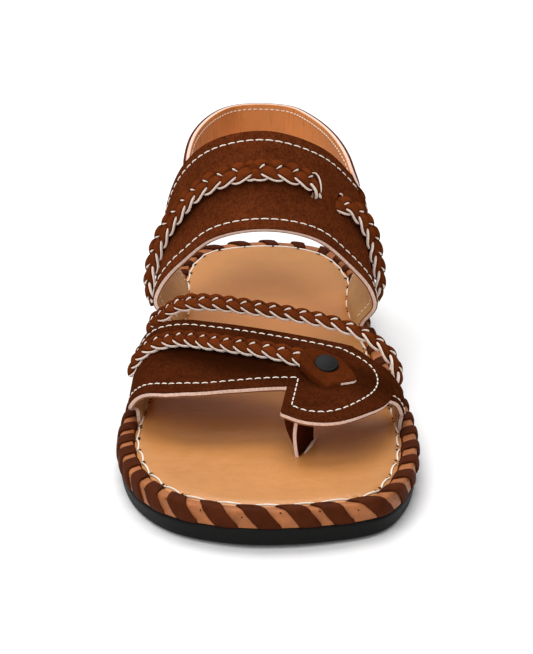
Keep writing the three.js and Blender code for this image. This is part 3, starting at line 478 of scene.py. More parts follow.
class Strap:
    """A strap's middle surface: straight from front edge to rear edge of each section."""

    def __init__(self, rows, start=None, end=None, creases=()):
        self.rows, self.start, self.end, self.creases = rows, start, end, creases
        self.lead = len(FOOT_STEPS) if start else 0
        rails = [self.rail(edge) for edge in ("front", "rear")]
        self.last = len(rails[0]) - 1
        self.front, self.rear = (curve_through(rail) for rail in rails)

    def rail(self, edge):
        points = [over(Place(*getattr(row, edge))) for row in self.rows]

        def down(foot):
            return [edge_point(foot.side, getattr(foot, edge), FOOT_OUT + step.out, step.height)[0]
                    for step in FOOT_STEPS]

        before = down(self.start)[::-1] if self.start else []
        after = down(self.end) if self.end else []
        return before + points + after

    def bow(self, foot, v):
        """How far the groove bows from the straight line between a foot's front and rear."""
        line = edge_point(foot.side, foot.front + (foot.rear - foot.front) * v, FOOT_OUT, 0)
        ends = edge_point(foot.side, [foot.front, foot.rear], FOOT_OUT, 0)
        return line - (ends[0] + (ends[1] - ends[0]) * v[:, None])

    def __call__(self, u, v):
        u, v = as_pairs(u, v)
        front = self.front(u)
        points = front + (self.rear(u) - front) * v[:, None]
        row = u * self.last
        leaves = len(FOOT_STEPS)
        for foot, above in ((self.start, row), (self.end, self.last - row)):
            if foot:
                held = 1 - smoothstep(above, leaves - 1, leaves)
                points = points + self.bow(foot, v) * held[:, None]
        swells = np.interp(row - self.lead, np.arange(len(self.rows)), [r.swell for r in self.rows])
        points[:, 2] += swells * 4 * v * (1 - v)
        return points

    def frame(self, u, v):
        """Points and outward normals, with the listed creases pressed in."""
        u, v = as_pairs(u, v)
        step = 1e-3
        run = self(np.minimum(u + step, 1), v) - self(np.maximum(u - step, 0), v)
        wide = self(u, np.minimum(v + step, 1)) - self(u, np.maximum(v - step, 0))
        normal = unit(np.cross(run, wide))
        points = self(u, v)
        for crease in self.creases:
            across = (u - self.share(crease.row)) / crease.wide
            along = (v - crease.share) / crease.long
            points = points - normal * (crease.depth * np.exp(-across ** 2 - along ** 2))[:, None]
        return points, normal

    def share(self, row):
        return (np.asarray(row, float) + self.lead) / self.last

    def width(self, u):
        return np.linalg.norm(self.rear(u) - self.front(u), axis=1)

    def locate(self, flat):
        """The surface's u and v over places in plan, by steps from the nearest of a grid of seeds."""
        columns, rows = np.linspace(SEEDS_FROM, 1, SEED_COLUMNS), np.linspace(0, 1, SEED_ROWS)
        us, vs = (grid.ravel() for grid in np.meshgrid(columns, rows))
        seeds = self(us, vs)[:, :2]
        nearest = [np.argmin(np.sum((seeds - place) ** 2, axis=1)) for place in flat]
        u, v = us[nearest], vs[nearest]
        step = 1e-4
        for _ in range(LOCATE_STEPS):
            here = self(u, v)[:, :2]
            du = (self(u + step, v)[:, :2] - here) / step
            dv = (self(u, v + step)[:, :2] - here) / step
            miss = flat - here
            det = du[:, 0] * dv[:, 1] - du[:, 1] * dv[:, 0]
            u = np.clip(u + (miss[:, 0] * dv[:, 1] - miss[:, 1] * dv[:, 0]) / det, 0, 1 - step)
            v = np.clip(v + (du[:, 0] * miss[:, 1] - du[:, 1] * miss[:, 0]) / det, 0, 1 - step)
        return u, v


class HeelStrap:
    """The heel strap's middle surface: on edge round the heel."""

    def __init__(self):
        self.top = curve_through([over(row) for row in HEEL_STRAP_ROWS])

    def __call__(self, u, v):
        u, v = as_pairs(u, v)
        points = self.top(u)
        points[:, 2] -= self.width(u) * v
        return points

    frame = Strap.frame
    creases = ()

    def width(self, u):
        ends = smoothstep(np.abs(np.asarray(u) - 0.5), *HEEL_STRAP_TAPERS)
        return HEEL_STRAP_DEPTH * (1 - HEEL_STRAP_TAPER * ends)


# Soft troughs and ridges, given one by one: row, share of the width, reach in u and v, and depth.
INSTEP_CREASES = [
    Crease(5.5, 0.5, 0.035, 0.3, 0.9),
    Crease(2.2, 0.3, 0.03, 0.35, 0.7),
    Crease(7.2, 0.35, 0.03, 0.3, 0.9),
    Crease(4.0, 0.25, 0.09, 0.2, 0.5),
    Crease(6.6, 0.75, 0.03, 0.25, -0.6),
]
FRONT_CREASES = [
    Crease(4.4, 0.32, 0.06, 0.16, 0.5),
    Crease(6.2, 0.3, 0.03, 0.2, 0.6),
    Crease(7.6, 0.25, 0.05, 0.2, -0.5),
    Crease(2.6, 0.3, 0.04, 0.3, 0.5),
]
FRONT_STRAP = Strap(FRONT_STRAP_ROWS, start=FEET["front_lateral"], creases=FRONT_CREASES)
UNDER_STRAP = Strap(UNDER_STRAP_ROWS, end=FEET["under_medial"])
INSTEP_STRAP = Strap(
    INSTEP_STRAP_ROWS, start=FEET["instep_lateral"], end=FEET["instep_medial"],
    creases=INSTEP_CREASES)
HEEL_STRAP = HeelStrap()


# Node trees.
class NodeTree:
    """A node tree under construction."""

    def __init__(self, tree):
        self.tree = tree

    def put(self, value, socket):
        """Links a socket to another, or gives it a plain value."""
        if isinstance(value, bpy.types.NodeSocket):
            self.tree.links.new(value, socket)
        else:
            socket.default_value = value

    def add(self, kind, inputs=None, output=0, **settings):
        node = self.tree.nodes.new(kind)
        for key, value in settings.items():
            setattr(node, key, value)
        for key, value in (inputs or {}).items():
            self.put(value, node.inputs[key])
        return node.outputs[output]

    def math(self, operation, first, second=0.0):
        return self.add("ShaderNodeMath", {0: first, 1: second}, operation=operation)


# Materials.
class Shader(NodeTree):
    """A material under construction, with its pattern on Object coordinates in metres."""

    def __init__(self, name, roughness, specular):
        self.material = bpy.data.materials.new(name)
        self.material.use_nodes = True
        super().__init__(self.material.node_tree)
        self.surface = self.tree.nodes["Principled BSDF"].inputs
        self.put(roughness, self.surface["Roughness"])
        self.put(specular, self.surface["Specular IOR Level"])
        self.place = self.add("ShaderNodeTexCoord", output="Object")
        self.bumped = None

    def noise(self, scale, detail=3.0, rough=0.55, stretch=(1, 1, 1), warp=0.0):
        place = self.add("ShaderNodeMapping", {"Vector": self.place, "Scale": stretch})
        return self.add("ShaderNodeTexNoise", {
            "Vector": place, "Scale": scale, "Detail": detail, "Roughness": rough,
            "Distortion": warp}, "Fac")

    def cells(self, scale):
        """Distance to the borders of small cells."""
        return self.add("ShaderNodeTexVoronoi", {
            "Vector": self.place, "Scale": scale}, "Distance", feature="DISTANCE_TO_EDGE")

    def ramp(self, source, low, high):
        return self.add("ShaderNodeMapRange", {
            "Value": source, "From Min": low, "From Max": high}, "Result")

    def attribute(self, name):
        return self.add("ShaderNodeAttribute", output="Fac", attribute_name=name)

    def mix(self, first, second, share):
        """A colour between two, each a colour or a socket."""
        node = self.tree.nodes.new("ShaderNodeMix")
        node.data_type = "RGBA"
        self.put(share, node.inputs["Factor"])
        sockets = [socket for socket in node.inputs if socket.type == "RGBA"]
        for socket, value in zip(sockets, (first, second)):
            linked = isinstance(value, bpy.types.NodeSocket)
            self.put(value if linked else (*value, 1), socket)
        return next(socket for socket in node.outputs if socket.type == "RGBA")

    def bump(self, height, distance, strength):
        inputs = {"Height": height, "Distance": distance, "Strength": strength}
        if self.bumped:
            inputs["Normal"] = self.bumped
        self.bumped = self.add("ShaderNodeBump", inputs, "Normal")

    def finish(self, colour, roughness=None):
        looks = {"Base Color": colour, "Roughness": roughness, "Normal": self.bumped}
        for key, value in looks.items():
            if value:
                self.put(value, self.surface[key])
        return self.material


def shade(colour, factor):
    return tuple(min(1.0, value * factor) for value in colour[:3])


def suede(name, colour, grain=1.0):
    """Brushed nap: soft blotches and fine fibres, darker by two attributes that carry painted shade and,
    on the front strap, darker nap.
    """
    s = Shader(name, roughness=0.95, specular=0.0)
    blotch = s.ramp(s.noise(60, detail=5, rough=0.62), 0.3, 0.7)
    nap = s.ramp(s.noise(330, detail=4, rough=0.65, warp=0.4), 0.36, 0.64)
    fibre = s.noise(1500, detail=3, rough=0.6, stretch=(1, 0.6, 0.6))
    base = s.mix(shade(colour, 0.66), shade(colour, 1.3), blotch)
    base = s.mix(base, shade(colour, 1.9), s.math("MULTIPLY", nap, 0.42 * grain))
    base = s.mix(base, shade(colour, 0.42), s.math("MULTIPLY", s.ramp(fibre, 0.42, 0.78), grain))
    # Painted shade at the borders of a plait's strips and where a strip dips under another; on the front
    # strap, painted shadow of the plait together with darker nap.
    deep = s.math("MAXIMUM", s.ramp(s.attribute("rim"), 0.3, 1.05), s.attribute("crossing_shade"))
    base = s.mix(base, shade(colour, 0.25), deep)
    s.bump(s.noise(420, detail=4, rough=0.65), 0.0005, 0.9)
    s.bump(fibre, 0.0002, 0.9)
    return s.finish(base)


Grain = namedtuple("Grain", "roughness blotches contrast gloss")


def smooth_leather(name, colour, grain):
    """Finished grain leather: faint blotches, pores and a soft gloss."""
    s = Shader(name, roughness=grain.roughness, specular=grain.gloss)
    blotch = s.ramp(s.noise(grain.blotches, detail=5, rough=0.6), 0.32, 0.68)
    base = s.mix(shade(colour, 1 - grain.contrast), shade(colour, 1 + grain.contrast * 0.6), blotch)
    speck = s.ramp(s.noise(900, detail=2), 0.66, 0.8)
    base = s.mix(base, shade(colour, 0.72), speck)
    s.bump(s.cells(750), 0.00015, 0.5)
    s.bump(s.noise(210, detail=5, rough=0.6, stretch=(0.6, 1.4, 1), warp=1.2), 0.0003, 0.5)
    rough = s.ramp(s.noise(240, detail=3), -0.8, 2.2)
    return s.finish(base, s.math("MULTIPLY", rough, grain.roughness * 2))


def lining_leather(name, colour):
    """Tan lining with fine creases that run up and down."""
    s = Shader(name, roughness=0.6, specular=0.3)
    crease = s.noise(520, detail=4, stretch=(1, 1, 0.13), warp=0.5)
    blotch = s.ramp(s.noise(45, detail=4), 0.3, 0.7)
    base = s.mix(shade(colour, 0.86), shade(colour, 1.08), blotch)
    base = s.mix(base, shade(colour, 0.55), s.ramp(crease, 0.57, 0.78))
    s.bump(crease, 0.0006, 0.5)
    s.bump(s.noise(1100, detail=2), 0.00012, 0.5)
    return s.finish(base)


def cut_leather(name, colour):
    """The fibrous core of cut leather."""
    s = Shader(name, roughness=0.85, specular=0.2)
    fibre = s.noise(1800, detail=3, stretch=(1, 1, 0.4))
    base = s.mix(shade(colour, 0.8), shade(colour, 1.06), s.ramp(fibre, 0.35, 0.65))
    s.bump(fibre, 0.00015, 0.6)
    return s.finish(base)


def thread_cotton(name, colour):
    s = Shader(name, roughness=0.75, specular=0.25)
    twist = s.noise(3200, detail=1)
    base = s.mix(shade(colour, 0.84), shade(colour, 1.05), s.ramp(twist, 0.35, 0.6))
    s.bump(twist, 0.0001, 0.5)
    return s.finish(base)


def moulded_rubber(name, colour):
    s = Shader(name, roughness=0.7, specular=0.15)
    grain = s.noise(1300, detail=3)
    scuff = s.ramp(s.noise(110, detail=6, rough=0.7, stretch=(1, 1, 3)), 0.55, 0.8)
    base = s.mix(colour, shade(colour, 1.9), scuff)
    s.bump(grain, 0.0001, 0.5)
    return s.finish(base, s.math("ADD", s.math("MULTIPLY", scuff, 0.15), 0.65))


def enamelled_metal(name, colour):
    s = Shader(name, roughness=0.5, specular=0.1)
    chip = s.ramp(s.noise(900, detail=3), 0.66, 0.74)
    base = s.mix(colour, shade(colour, 3.2), chip)
    s.bump(s.noise(500, detail=3), 0.0001, 0.4)
    return s.finish(base, s.math("ADD", s.math("MULTIPLY", chip, 0.2), 0.46))


# Near-black dots that stand in for holes: painted shade.
def hole_painted_shade(name):
    s = Shader(name, roughness=0.95, specular=0.1)
    return s.finish(s.mix((0.012, 0.006, 0.004), (0.03, 0.016, 0.01), s.noise(2000)))


INSOLE_GRAIN = Grain(roughness=0.45, blotches=30, contrast=0.09, gloss=0.45)
RAND_GRAIN = Grain(roughness=0.6, blotches=120, contrast=0.34, gloss=0.15)
LACE_GRAIN = Grain(roughness=0.8, blotches=140, contrast=0.3, gloss=0.03)

# How strongly the nap shows on narrow pieces. The tab is the plait's suede made darker, painted shade for
# its upward face; the lining's edge is the rand's leather made darker.
PLAIT_NAP = 0.5
TAB_NAP = 0.6
TAB_PAINTED_SHADE = 0.68
LINING_EDGE_SHADE = 0.5
MATERIALS = {}


def material(name):
    """The sandal's materials, each made when it is first asked for."""
    if name not in MATERIALS:
        colours = bpy.context.scene.sandal_colours
        makers = {
            "insole_leather": (smooth_leather, colours.insole, INSOLE_GRAIN),
            "rand_leather": (smooth_leather, colours.rand, RAND_GRAIN),
            "lace_leather": (smooth_leather, colours.lace, LACE_GRAIN),
            "instep_suede": (suede, colours.instep),
            "front_suede": (suede, colours.front),
            "plait_suede": (suede, colours.plait, PLAIT_NAP),
            # The tab is the plait's suede made darker: painted shade for its upward face.
            "tab_suede": (suede, shade(colours.plait, TAB_PAINTED_SHADE), TAB_NAP),
            # Greyer lining inside the straps: painted shade.
            "strap_lining": (lining_leather, colours.lining),
            "heel_lining": (lining_leather, colours.heel_lining),
            "raw_edge": (cut_leather, colours.raw_edge),
            # Paler cut edge for the plaits and rims: painted light.
            "strip_edge": (cut_leather, colours.strip_edge),
            "lining_edge": (cut_leather, shade(colours.rand, LINING_EDGE_SHADE)),
            "thread": (thread_cotton, colours.thread),
            "rubber": (moulded_rubber, colours.rubber),
            "rivet_enamel": (enamelled_metal, colours.rivet),
            # Dark dots for holes: painted shade.
            "pinhole": (hole_painted_shade,),
        }
        maker, *looks = makers[name]
        MATERIALS[name] = maker(name, *looks)
    return MATERIALS[name]


# Meshes.
def add_piece(mesh, nodes=()):
    """Puts a finished mesh in the scene and on the sandal's body."""
    piece = bpy.data.objects.new(mesh.name, mesh)
    bpy.context.scene.collection.objects.link(piece)
    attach(piece, BODY)
    if nodes:
        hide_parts(*nodes)
    return piece


def make_mesh(name, points, faces, materials, indices=None, sharp=50):
    """A mesh from points in millimetres, its faces turned outwards."""
    points = np.asarray(points, float)
    corners = [
        (points[face[0]], points[face[i]], points[face[i + 1]])
        for face in faces for i in range(1, len(face) - 1)]
    first, second, third = (np.array(side) for side in zip(*corners))
    if np.sum(first * np.cross(second, third)) < 0:
        faces = [tuple(reversed(face)) for face in faces]
    mesh = bpy.data.meshes.new(name)
    mesh.from_pydata((points * MM).tolist(), [], [tuple(int(i) for i in face) for face in faces])
    for entry in materials:
        mesh.materials.append(material(entry))
    if indices is not None:
        mesh.polygons.foreach_set("material_index", np.asarray(indices, np.int32))
    mesh.shade_smooth()
    mesh.set_sharp_from_angle(angle=math.radians(sharp))
    mesh.update()
    return mesh


def ring_faces(count, sides, closed_run=True, closed_side=True):
    """Faces between like sections, one after the other."""
    faces = []
    for i in range(count if closed_run else count - 1):
        after = (i + 1) % count
        for j in range(sides if closed_side else sides - 1):
            beside = (j + 1) % sides
            faces.append((i * sides + j, after * sides + j, after * sides + beside, i * sides + beside))
    return faces


def split_sheet(places, triangles, field, keep_all):
    """Splits triangles along the line where field is zero, and drops what is below it unless kept."""
    field = np.where(np.abs(field) < TINY, TINY, field)
    above = field > 0
    counts = above[triangles].sum(axis=1)
    whole = triangles[(counts == 3) | ((counts == 0) & keep_all)]
    places = list(places)
    made, crossing = [], {}

    def cut(a, b):
        key = (min(a, b), max(a, b))
        if key not in crossing:
            share = field[a] / (field[a] - field[b])
            crossing[key] = len(places)
            places.append(places[a] + (places[b] - places[a]) * share)
        return crossing[key]

    for triangle in triangles[(counts == 1) | (counts == 2)]:
        lone = 1 if above[triangle].sum() == 1 else 0
        turn = int(np.argmax(above[triangle] == bool(lone)))
        tip, left, right = (int(triangle[(turn + k) % 3]) for k in range(3))
        to_left, to_right = cut(tip, left), cut(tip, right)
        if lone or keep_all:
            made.append((tip, to_left, to_right))
        if not lone or keep_all:
            made += [(to_left, left, right), (to_left, right, to_right)]
    if made:
        whole = np.vstack([whole, np.array(made, int)])
    return np.array(places), whole


def tube(line, side, up, radius, sides=8):
    """A closed roll along a line, with a radius at each point; side crossed with up points back."""
    turns = np.arange(sides) / sides * 2 * math.pi
    rings = [line + radius[:, None] * (math.cos(turn) * side + math.sin(turn) * up) for turn in turns]
    count = len(line)
    caps = [tuple(range(sides))[::-1], tuple(range((count - 1) * sides, count * sides))]
    return np.stack(rings, axis=1).reshape(-1, 3), ring_faces(count, sides, closed_run=False) + caps


EDGE_SHARES = (0.0, 0.004, 0.012)  # close rows beside a strap's edge, as shares of its width


def strap_sheet(columns, rows):
    """Places on a strap in a grid that is closer at its two edges, and the triangles between them."""
    inner = np.linspace(0, 1, rows)[1:-1]
    across = np.unique(np.concatenate([EDGE_SHARES, inner, 1 - np.array(EDGE_SHARES)]))
    us, vs = np.meshgrid(np.linspace(0, 1, columns), across, indexing="ij")
    index = np.arange(us.size).reshape(us.shape)
    corners = (index[:-1, :-1], index[1:, :-1], index[1:, 1:], index[:-1, 1:])
    start, ahead, far, beside = (corner.ravel() for corner in corners)
    triangles = [np.column_stack([start, ahead, far]), np.column_stack([start, far, beside])]
    return np.column_stack([us.ravel(), vs.ravel()]), np.vstack(triangles)


def drop_unused(places, triangles):
    used = np.unique(triangles)
    renumber = np.zeros(len(places), int)
    renumber[used] = np.arange(len(used))
    return places[used], renumber[triangles]


def border_edges(triangles):
    """The edges that only one triangle has."""
    edges = np.vstack([triangles[:, [0, 1]], triangles[:, [1, 2]], triangles[:, [2, 0]]])
    known = {tuple(edge) for edge in edges.tolist()}
    return [edge for edge in known if edge[::-1] not in known]


def at_ends(places):
    return (places[:, 0] < TINY) | (places[:, 0] > 1 - TINY)


EDGE_LEVELS = (1.0, 0.35)  # where the rounding of an edge is divided, in its radius
LINING_ROUND = 0.6  # rounding of the lining's edge, as a share of the outside's

# A strap's materials, in the order of its slots: outside, lining, raw edge and the lining's edge.
LINING, RAW_EDGE, LINING_EDGE = 1, 2, 3
FRONT_FINISH = ["front_suede", "strap_lining", "raw_edge", "lining_edge"]
INSTEP_FINISH = ["instep_suede", "strap_lining", "raw_edge", "lining_edge"]
HEEL_FINISH = ["instep_suede", "heel_lining", "instep_suede", "raw_edge"]


def strap_wall(name, strap, columns, rows, margin, materials, cuts=(), plain=at_ends, core=0.75,
               lined=None, dark=None):
    """A lined strap: outer leather, lining and a raw edge of two layers.

    columns and rows are the number of places along and across it. margin gives the distance to the
    nearest free edge, each cut is positive where leather stays, plain tells where the edge has the
    colour of the outer leather, core is the outer layer's part of the edge, lined tells where the
    lining shows, and dark how much painted shade, with darker nap, the outside gets.
    """
    sizes = sizes_in_mm()
    half, radius = sizes.strap_wall / 2, sizes.edge_round
    places, triangles = strap_sheet(columns, rows)
    for field in cuts:
        places, triangles = split_sheet(places, triangles, field(places), False)
    for level in EDGE_LEVELS:
        places, triangles = split_sheet(places, triangles, margin(places) - radius * level, True)
    places, triangles = drop_unused(places, triangles)
    points, normals = strap.frame(places[:, 0], places[:, 1])
    inside = np.clip(1 - np.maximum(margin(places), 0) / radius, 0, 1)
    fall = (radius * (1 - np.sqrt(np.maximum(1 - inside ** 2, 0))))[:, None]
    outer = points + normals * (half - fall)
    inner = points - normals * (half - fall * LINING_ROUND)
    count = len(points)
    border = border_edges(triangles)
    ends = sorted({vertex for edge in border for vertex in edge})
    rim = {vertex: 2 * count + k for k, vertex in enumerate(ends)}
    points = np.vstack([outer, inner, outer[ends] * (1 - core) + inner[ends] * core])
    faces = np.vstack([triangles, triangles[:, [0, 2, 1]] + count]).tolist()
    faces += [(end, start, rim[start], rim[end]) for start, end in border]
    faces += [(rim[end], rim[start], start + count, end + count) for start, end in border]
    bare = plain(places)
    raw = np.array([not (bare[start] and bare[end]) for start, end in border])
    shown = lined(places)[triangles].all(axis=1) if lined else np.ones(len(triangles), bool)
    indices = np.concatenate([
        np.zeros(len(triangles), int), shown * LINING, raw * RAW_EDGE, raw * LINING_EDGE])
    mesh = make_mesh(name, points, faces, materials, indices)
    # Painted shadow of the front plait, with darker nap, kept as the attribute rim for the suede.
    if dark:
        values = np.concatenate([dark(places), np.zeros(len(points) - count)])
        mesh.attributes.new("rim", "FLOAT", "POINT").data.foreach_set("value", values)
    return mesh


# Geometry node trees.
GROWN_SHARP = 60  # degrees between faces from which an edge is sharp


class Nodes(NodeTree):
    """A geometry node tree under construction, with a named input for each size."""

    def __init__(self, name, labels):
        super().__init__(bpy.data.node_groups.new(name, "GeometryNodeTree"))
        socket = self.tree.interface.new_socket
        socket(name="Geometry", in_out="INPUT", socket_type="NodeSocketGeometry")
        self.keys = {
            label: socket(name=label, in_out="INPUT", socket_type="NodeSocketFloat").identifier
            for label in labels}
        socket(name="Geometry", in_out="OUTPUT", socket_type="NodeSocketGeometry")
        self.source = self.tree.nodes.new("NodeGroupInput").outputs
        self.sink = self.tree.nodes.new("NodeGroupOutput").inputs

    def attribute(self, name, kind="FLOAT"):
        return self.add("GeometryNodeInputNamedAttribute", {"Name": name}, data_type=kind)

    def store(self, geometry, name, value, kind="FLOAT", domain="POINT"):
        return self.add("GeometryNodeStoreNamedAttribute", {
            "Geometry": geometry, "Name": name, "Value": value}, data_type=kind, domain=domain)

    def times(self, first, *others):
        for other in others:
            first = self.math("MULTIPLY", first, other)
        return first

    def vector(self, operation, first, second=None, scale=None):
        inputs = {0: first}
        if second is not None:
            inputs[1] = second
        if scale is not None:
            inputs["Scale"] = scale
        output = "Value" if operation == "DOT_PRODUCT" else "Vector"
        return self.add("ShaderNodeVectorMath", inputs, output, operation=operation)

    def step(self, value, low, high):
        """Runs smoothly from 0 at low to 1 at high."""
        return self.add("ShaderNodeMapRange", {
            "Value": value, "From Min": low, "From Max": high}, interpolation_type="SMOOTHSTEP")

    def combine(self, x, y, z):
        return self.add("ShaderNodeCombineXYZ", {"X": x, "Y": y, "Z": z})

    def join(self, parts):
        node = self.tree.nodes.new("GeometryNodeJoinGeometry")
        for part in parts:
            self.tree.links.new(part, node.inputs[0])
        return node.outputs[0]

    def finish(self, geometry, finish, edge_finish=None):
        """Ends the tree in Realize Instances and Set Material, with another finish for cut edges."""
        real = self.add("GeometryNodeRealizeInstances", {"Geometry": geometry})
        dressed = self.add("GeometryNodeSetMaterial", {"Geometry": real, "Material": material(finish)})
        if edge_finish:
            dressed = self.add("GeometryNodeSetMaterial", {
                "Geometry": dressed, "Selection": self.attribute("cut_edge", "BOOLEAN"),
                "Material": material(edge_finish)})
        self.tree.links.new(dressed, self.sink[0])


def guide_mesh(name, points, attributes, edges=()):
    """A mesh of points that a node tree works on, with named values."""
    mesh = bpy.data.meshes.new(name + "_guide")
    mesh.from_pydata((np.asarray(points) * MM).tolist(), list(edges), [])
    for key, values in attributes.items():
        values = np.asarray(values, np.float32)
        kind = "FLOAT_VECTOR" if values.ndim == 2 else "FLOAT"
        layer = mesh.attributes.new(key, kind, "POINT")
        layer.data.foreach_set("vector" if values.ndim == 2 else "value", values.ravel())
    return mesh


def grow(name, guide, nodes, values, replaced=()):
    """Runs a node tree on a guide and keeps the result as a plain mesh."""
    maker = bpy.data.objects.new(name + "_guide", guide)
    bpy.context.scene.collection.objects.link(maker)
    modifier = maker.modifiers.new("grow", "NODES")
    modifier.node_group = nodes.tree
    for label, value in values.items():
        modifier[nodes.keys[label]] = value
    graph = bpy.context.evaluated_depsgraph_get()
    mesh = bpy.data.meshes.new_from_object(maker.evaluated_get(graph))
    mesh.name = name
    maker.modifiers.remove(modifier)
    bpy.data.objects.remove(maker)
    bpy.data.meshes.remove(guide)
    mesh.shade_smooth()
    mesh.set_sharp_from_angle(angle=math.radians(GROWN_SHARP))
    return add_piece(mesh, replaced)


def stitch_nodes():
    """Threads laid on points: run is the way along, up stands off the leather, reach is the length."""
    n = Nodes("thread_stitches", ["Thread", "Bow", "Sink"])
    bow = n.combine(0.0, 0.0, n.times(n.source["Bow"], 2.0))
    sink = n.times(n.source["Sink"], -1.0)
    line = n.add("GeometryNodeCurveQuadraticBezier", {
        "Resolution": 7, "Start": n.combine(-0.5, 0.0, sink), "Middle": bow,
        "End": n.combine(0.5, 0.0, sink)})
    radius = n.times(n.source["Thread"], 0.5)
    ring = n.add("GeometryNodeCurvePrimitiveCircle", {"Resolution": 6, "Radius": radius})
    tube = n.add("GeometryNodeCurveToMesh", {"Curve": line, "Profile Curve": ring, "Fill Caps": True})
    turn = n.add("FunctionNodeAxesToRotation", {
        "Primary Axis": n.attribute("run", "FLOAT_VECTOR"),
        "Secondary Axis": n.attribute("up", "FLOAT_VECTOR")}, primary_axis="X", secondary_axis="Z")
    size = n.combine(n.attribute("reach"), 1.0, 1.0)
    laid = n.add("GeometryNodeInstanceOnPoints", {
        "Points": n.source["Geometry"], "Instance": tube, "Rotation": turn, "Scale": size})
    n.finish(laid, "thread")
    return n


PINHOLE_DEPTH = 0.35  # in radii


def pinhole_nodes():
    """Small dark dots pressed into leather on points: painted shade for holes."""
    n = Nodes("pinholes", ["Radius", "Length"])
    ball = n.add("GeometryNodeMeshIcoSphere", {"Radius": n.source["Radius"], "Subdivisions": 2})
    turn = n.add("FunctionNodeAxesToRotation", {
        "Primary Axis": n.attribute("up", "FLOAT_VECTOR"),
        "Secondary Axis": n.attribute("run", "FLOAT_VECTOR")}, primary_axis="Z", secondary_axis="X")
    laid = n.add("GeometryNodeInstanceOnPoints", {
        "Points": n.source["Geometry"], "Instance": ball, "Rotation": turn,
        "Scale": n.combine(n.source["Length"], 1.0, PINHOLE_DEPTH)})
    n.finish(laid, "pinhole")
    return n


STRANDS = 3
STRIP_FILLET = 0.3  # in thicknesses
STRIP_POINTS = 30
SUNK_SHADE = 0.9  # painted shade on a strip where it dips under another

# The pale cut edges of a strip: place across in strip widths, and height and drop in thicknesses.
CutEdge = namedtuple("CutEdge", "side height drop")
CUT_EDGES = [CutEdge(-0.48, 0.75, -0.12), CutEdge(0.49, 1.0, -0.04)]

# Where a cut edge shows, by how far its strip has swung to the edge's own side: it comes out towards
# that border, and again past the middle until it nears the other border.
SHOWS_AT_BORDER = (0.25, 0.7)
SHOWS_PAST_MIDDLE = (-0.2, -0.42)
SHOWS_FROM_FAR_BORDER = (-0.99, -0.88)
EDGE_SLIM = 0.84  # size of a cut edge where it is hidden


def strip_profile(n):
    """A strip's section: flat with soft corners and a crown, with the attribute rim rising towards its
    borders for painted shade there.
    """
    thickness, width = n.source["Thickness"], n.source["Width"]
    box = n.add("GeometryNodeCurvePrimitiveQuadrilateral", {"Width": thickness, "Height": width})
    soft = n.add("GeometryNodeFilletCurve", {
        "Curve": box, "Count": 3, "Radius": n.times(thickness, STRIP_FILLET)}, mode="POLY")
    even = n.add("GeometryNodeResampleCurve", {"Curve": soft, "Count": STRIP_POINTS})
    place = n.add("ShaderNodeSeparateXYZ", {0: n.add("GeometryNodeInputPosition")}, "Y")
    out = n.math("DIVIDE", place, n.times(width, 0.5))
    square = n.times(out, out)
    crown = n.times(n.math("SUBTRACT", 1.0, square), n.source["Crown"])
    # rim darkens the suede towards a strip's borders: painted shade between the strips.
    marked = n.store(even, "rim", square)
    return n.add("GeometryNodeSetPosition", {"Geometry": marked, "Offset": n.combine(crown, 0.0, 0.0)})


def cut_edge_profiles(n):
    """The sections of a strip's two cut edges, each with the side that it is on."""
    circle = n.add("GeometryNodeCurvePrimitiveCircle", {"Resolution": 10, "Radius": 0.5})
    profiles = []
    for edge in CUT_EDGES:
        size = n.combine(n.times(n.source["Thickness"], edge.height), n.source["Edge"], 1.0)
        bead = n.add("GeometryNodeTransform", {"Geometry": circle, "Scale": size})
        drop, side = n.times(n.source["Thickness"], edge.drop), n.times(n.source["Width"], edge.side)
        place = n.combine(drop, side, 0.0)
        bead = n.add("GeometryNodeTransform", {"Geometry": bead, "Translation": place})
        profiles.append((math.copysign(1.0, edge.side), bead))
    return profiles


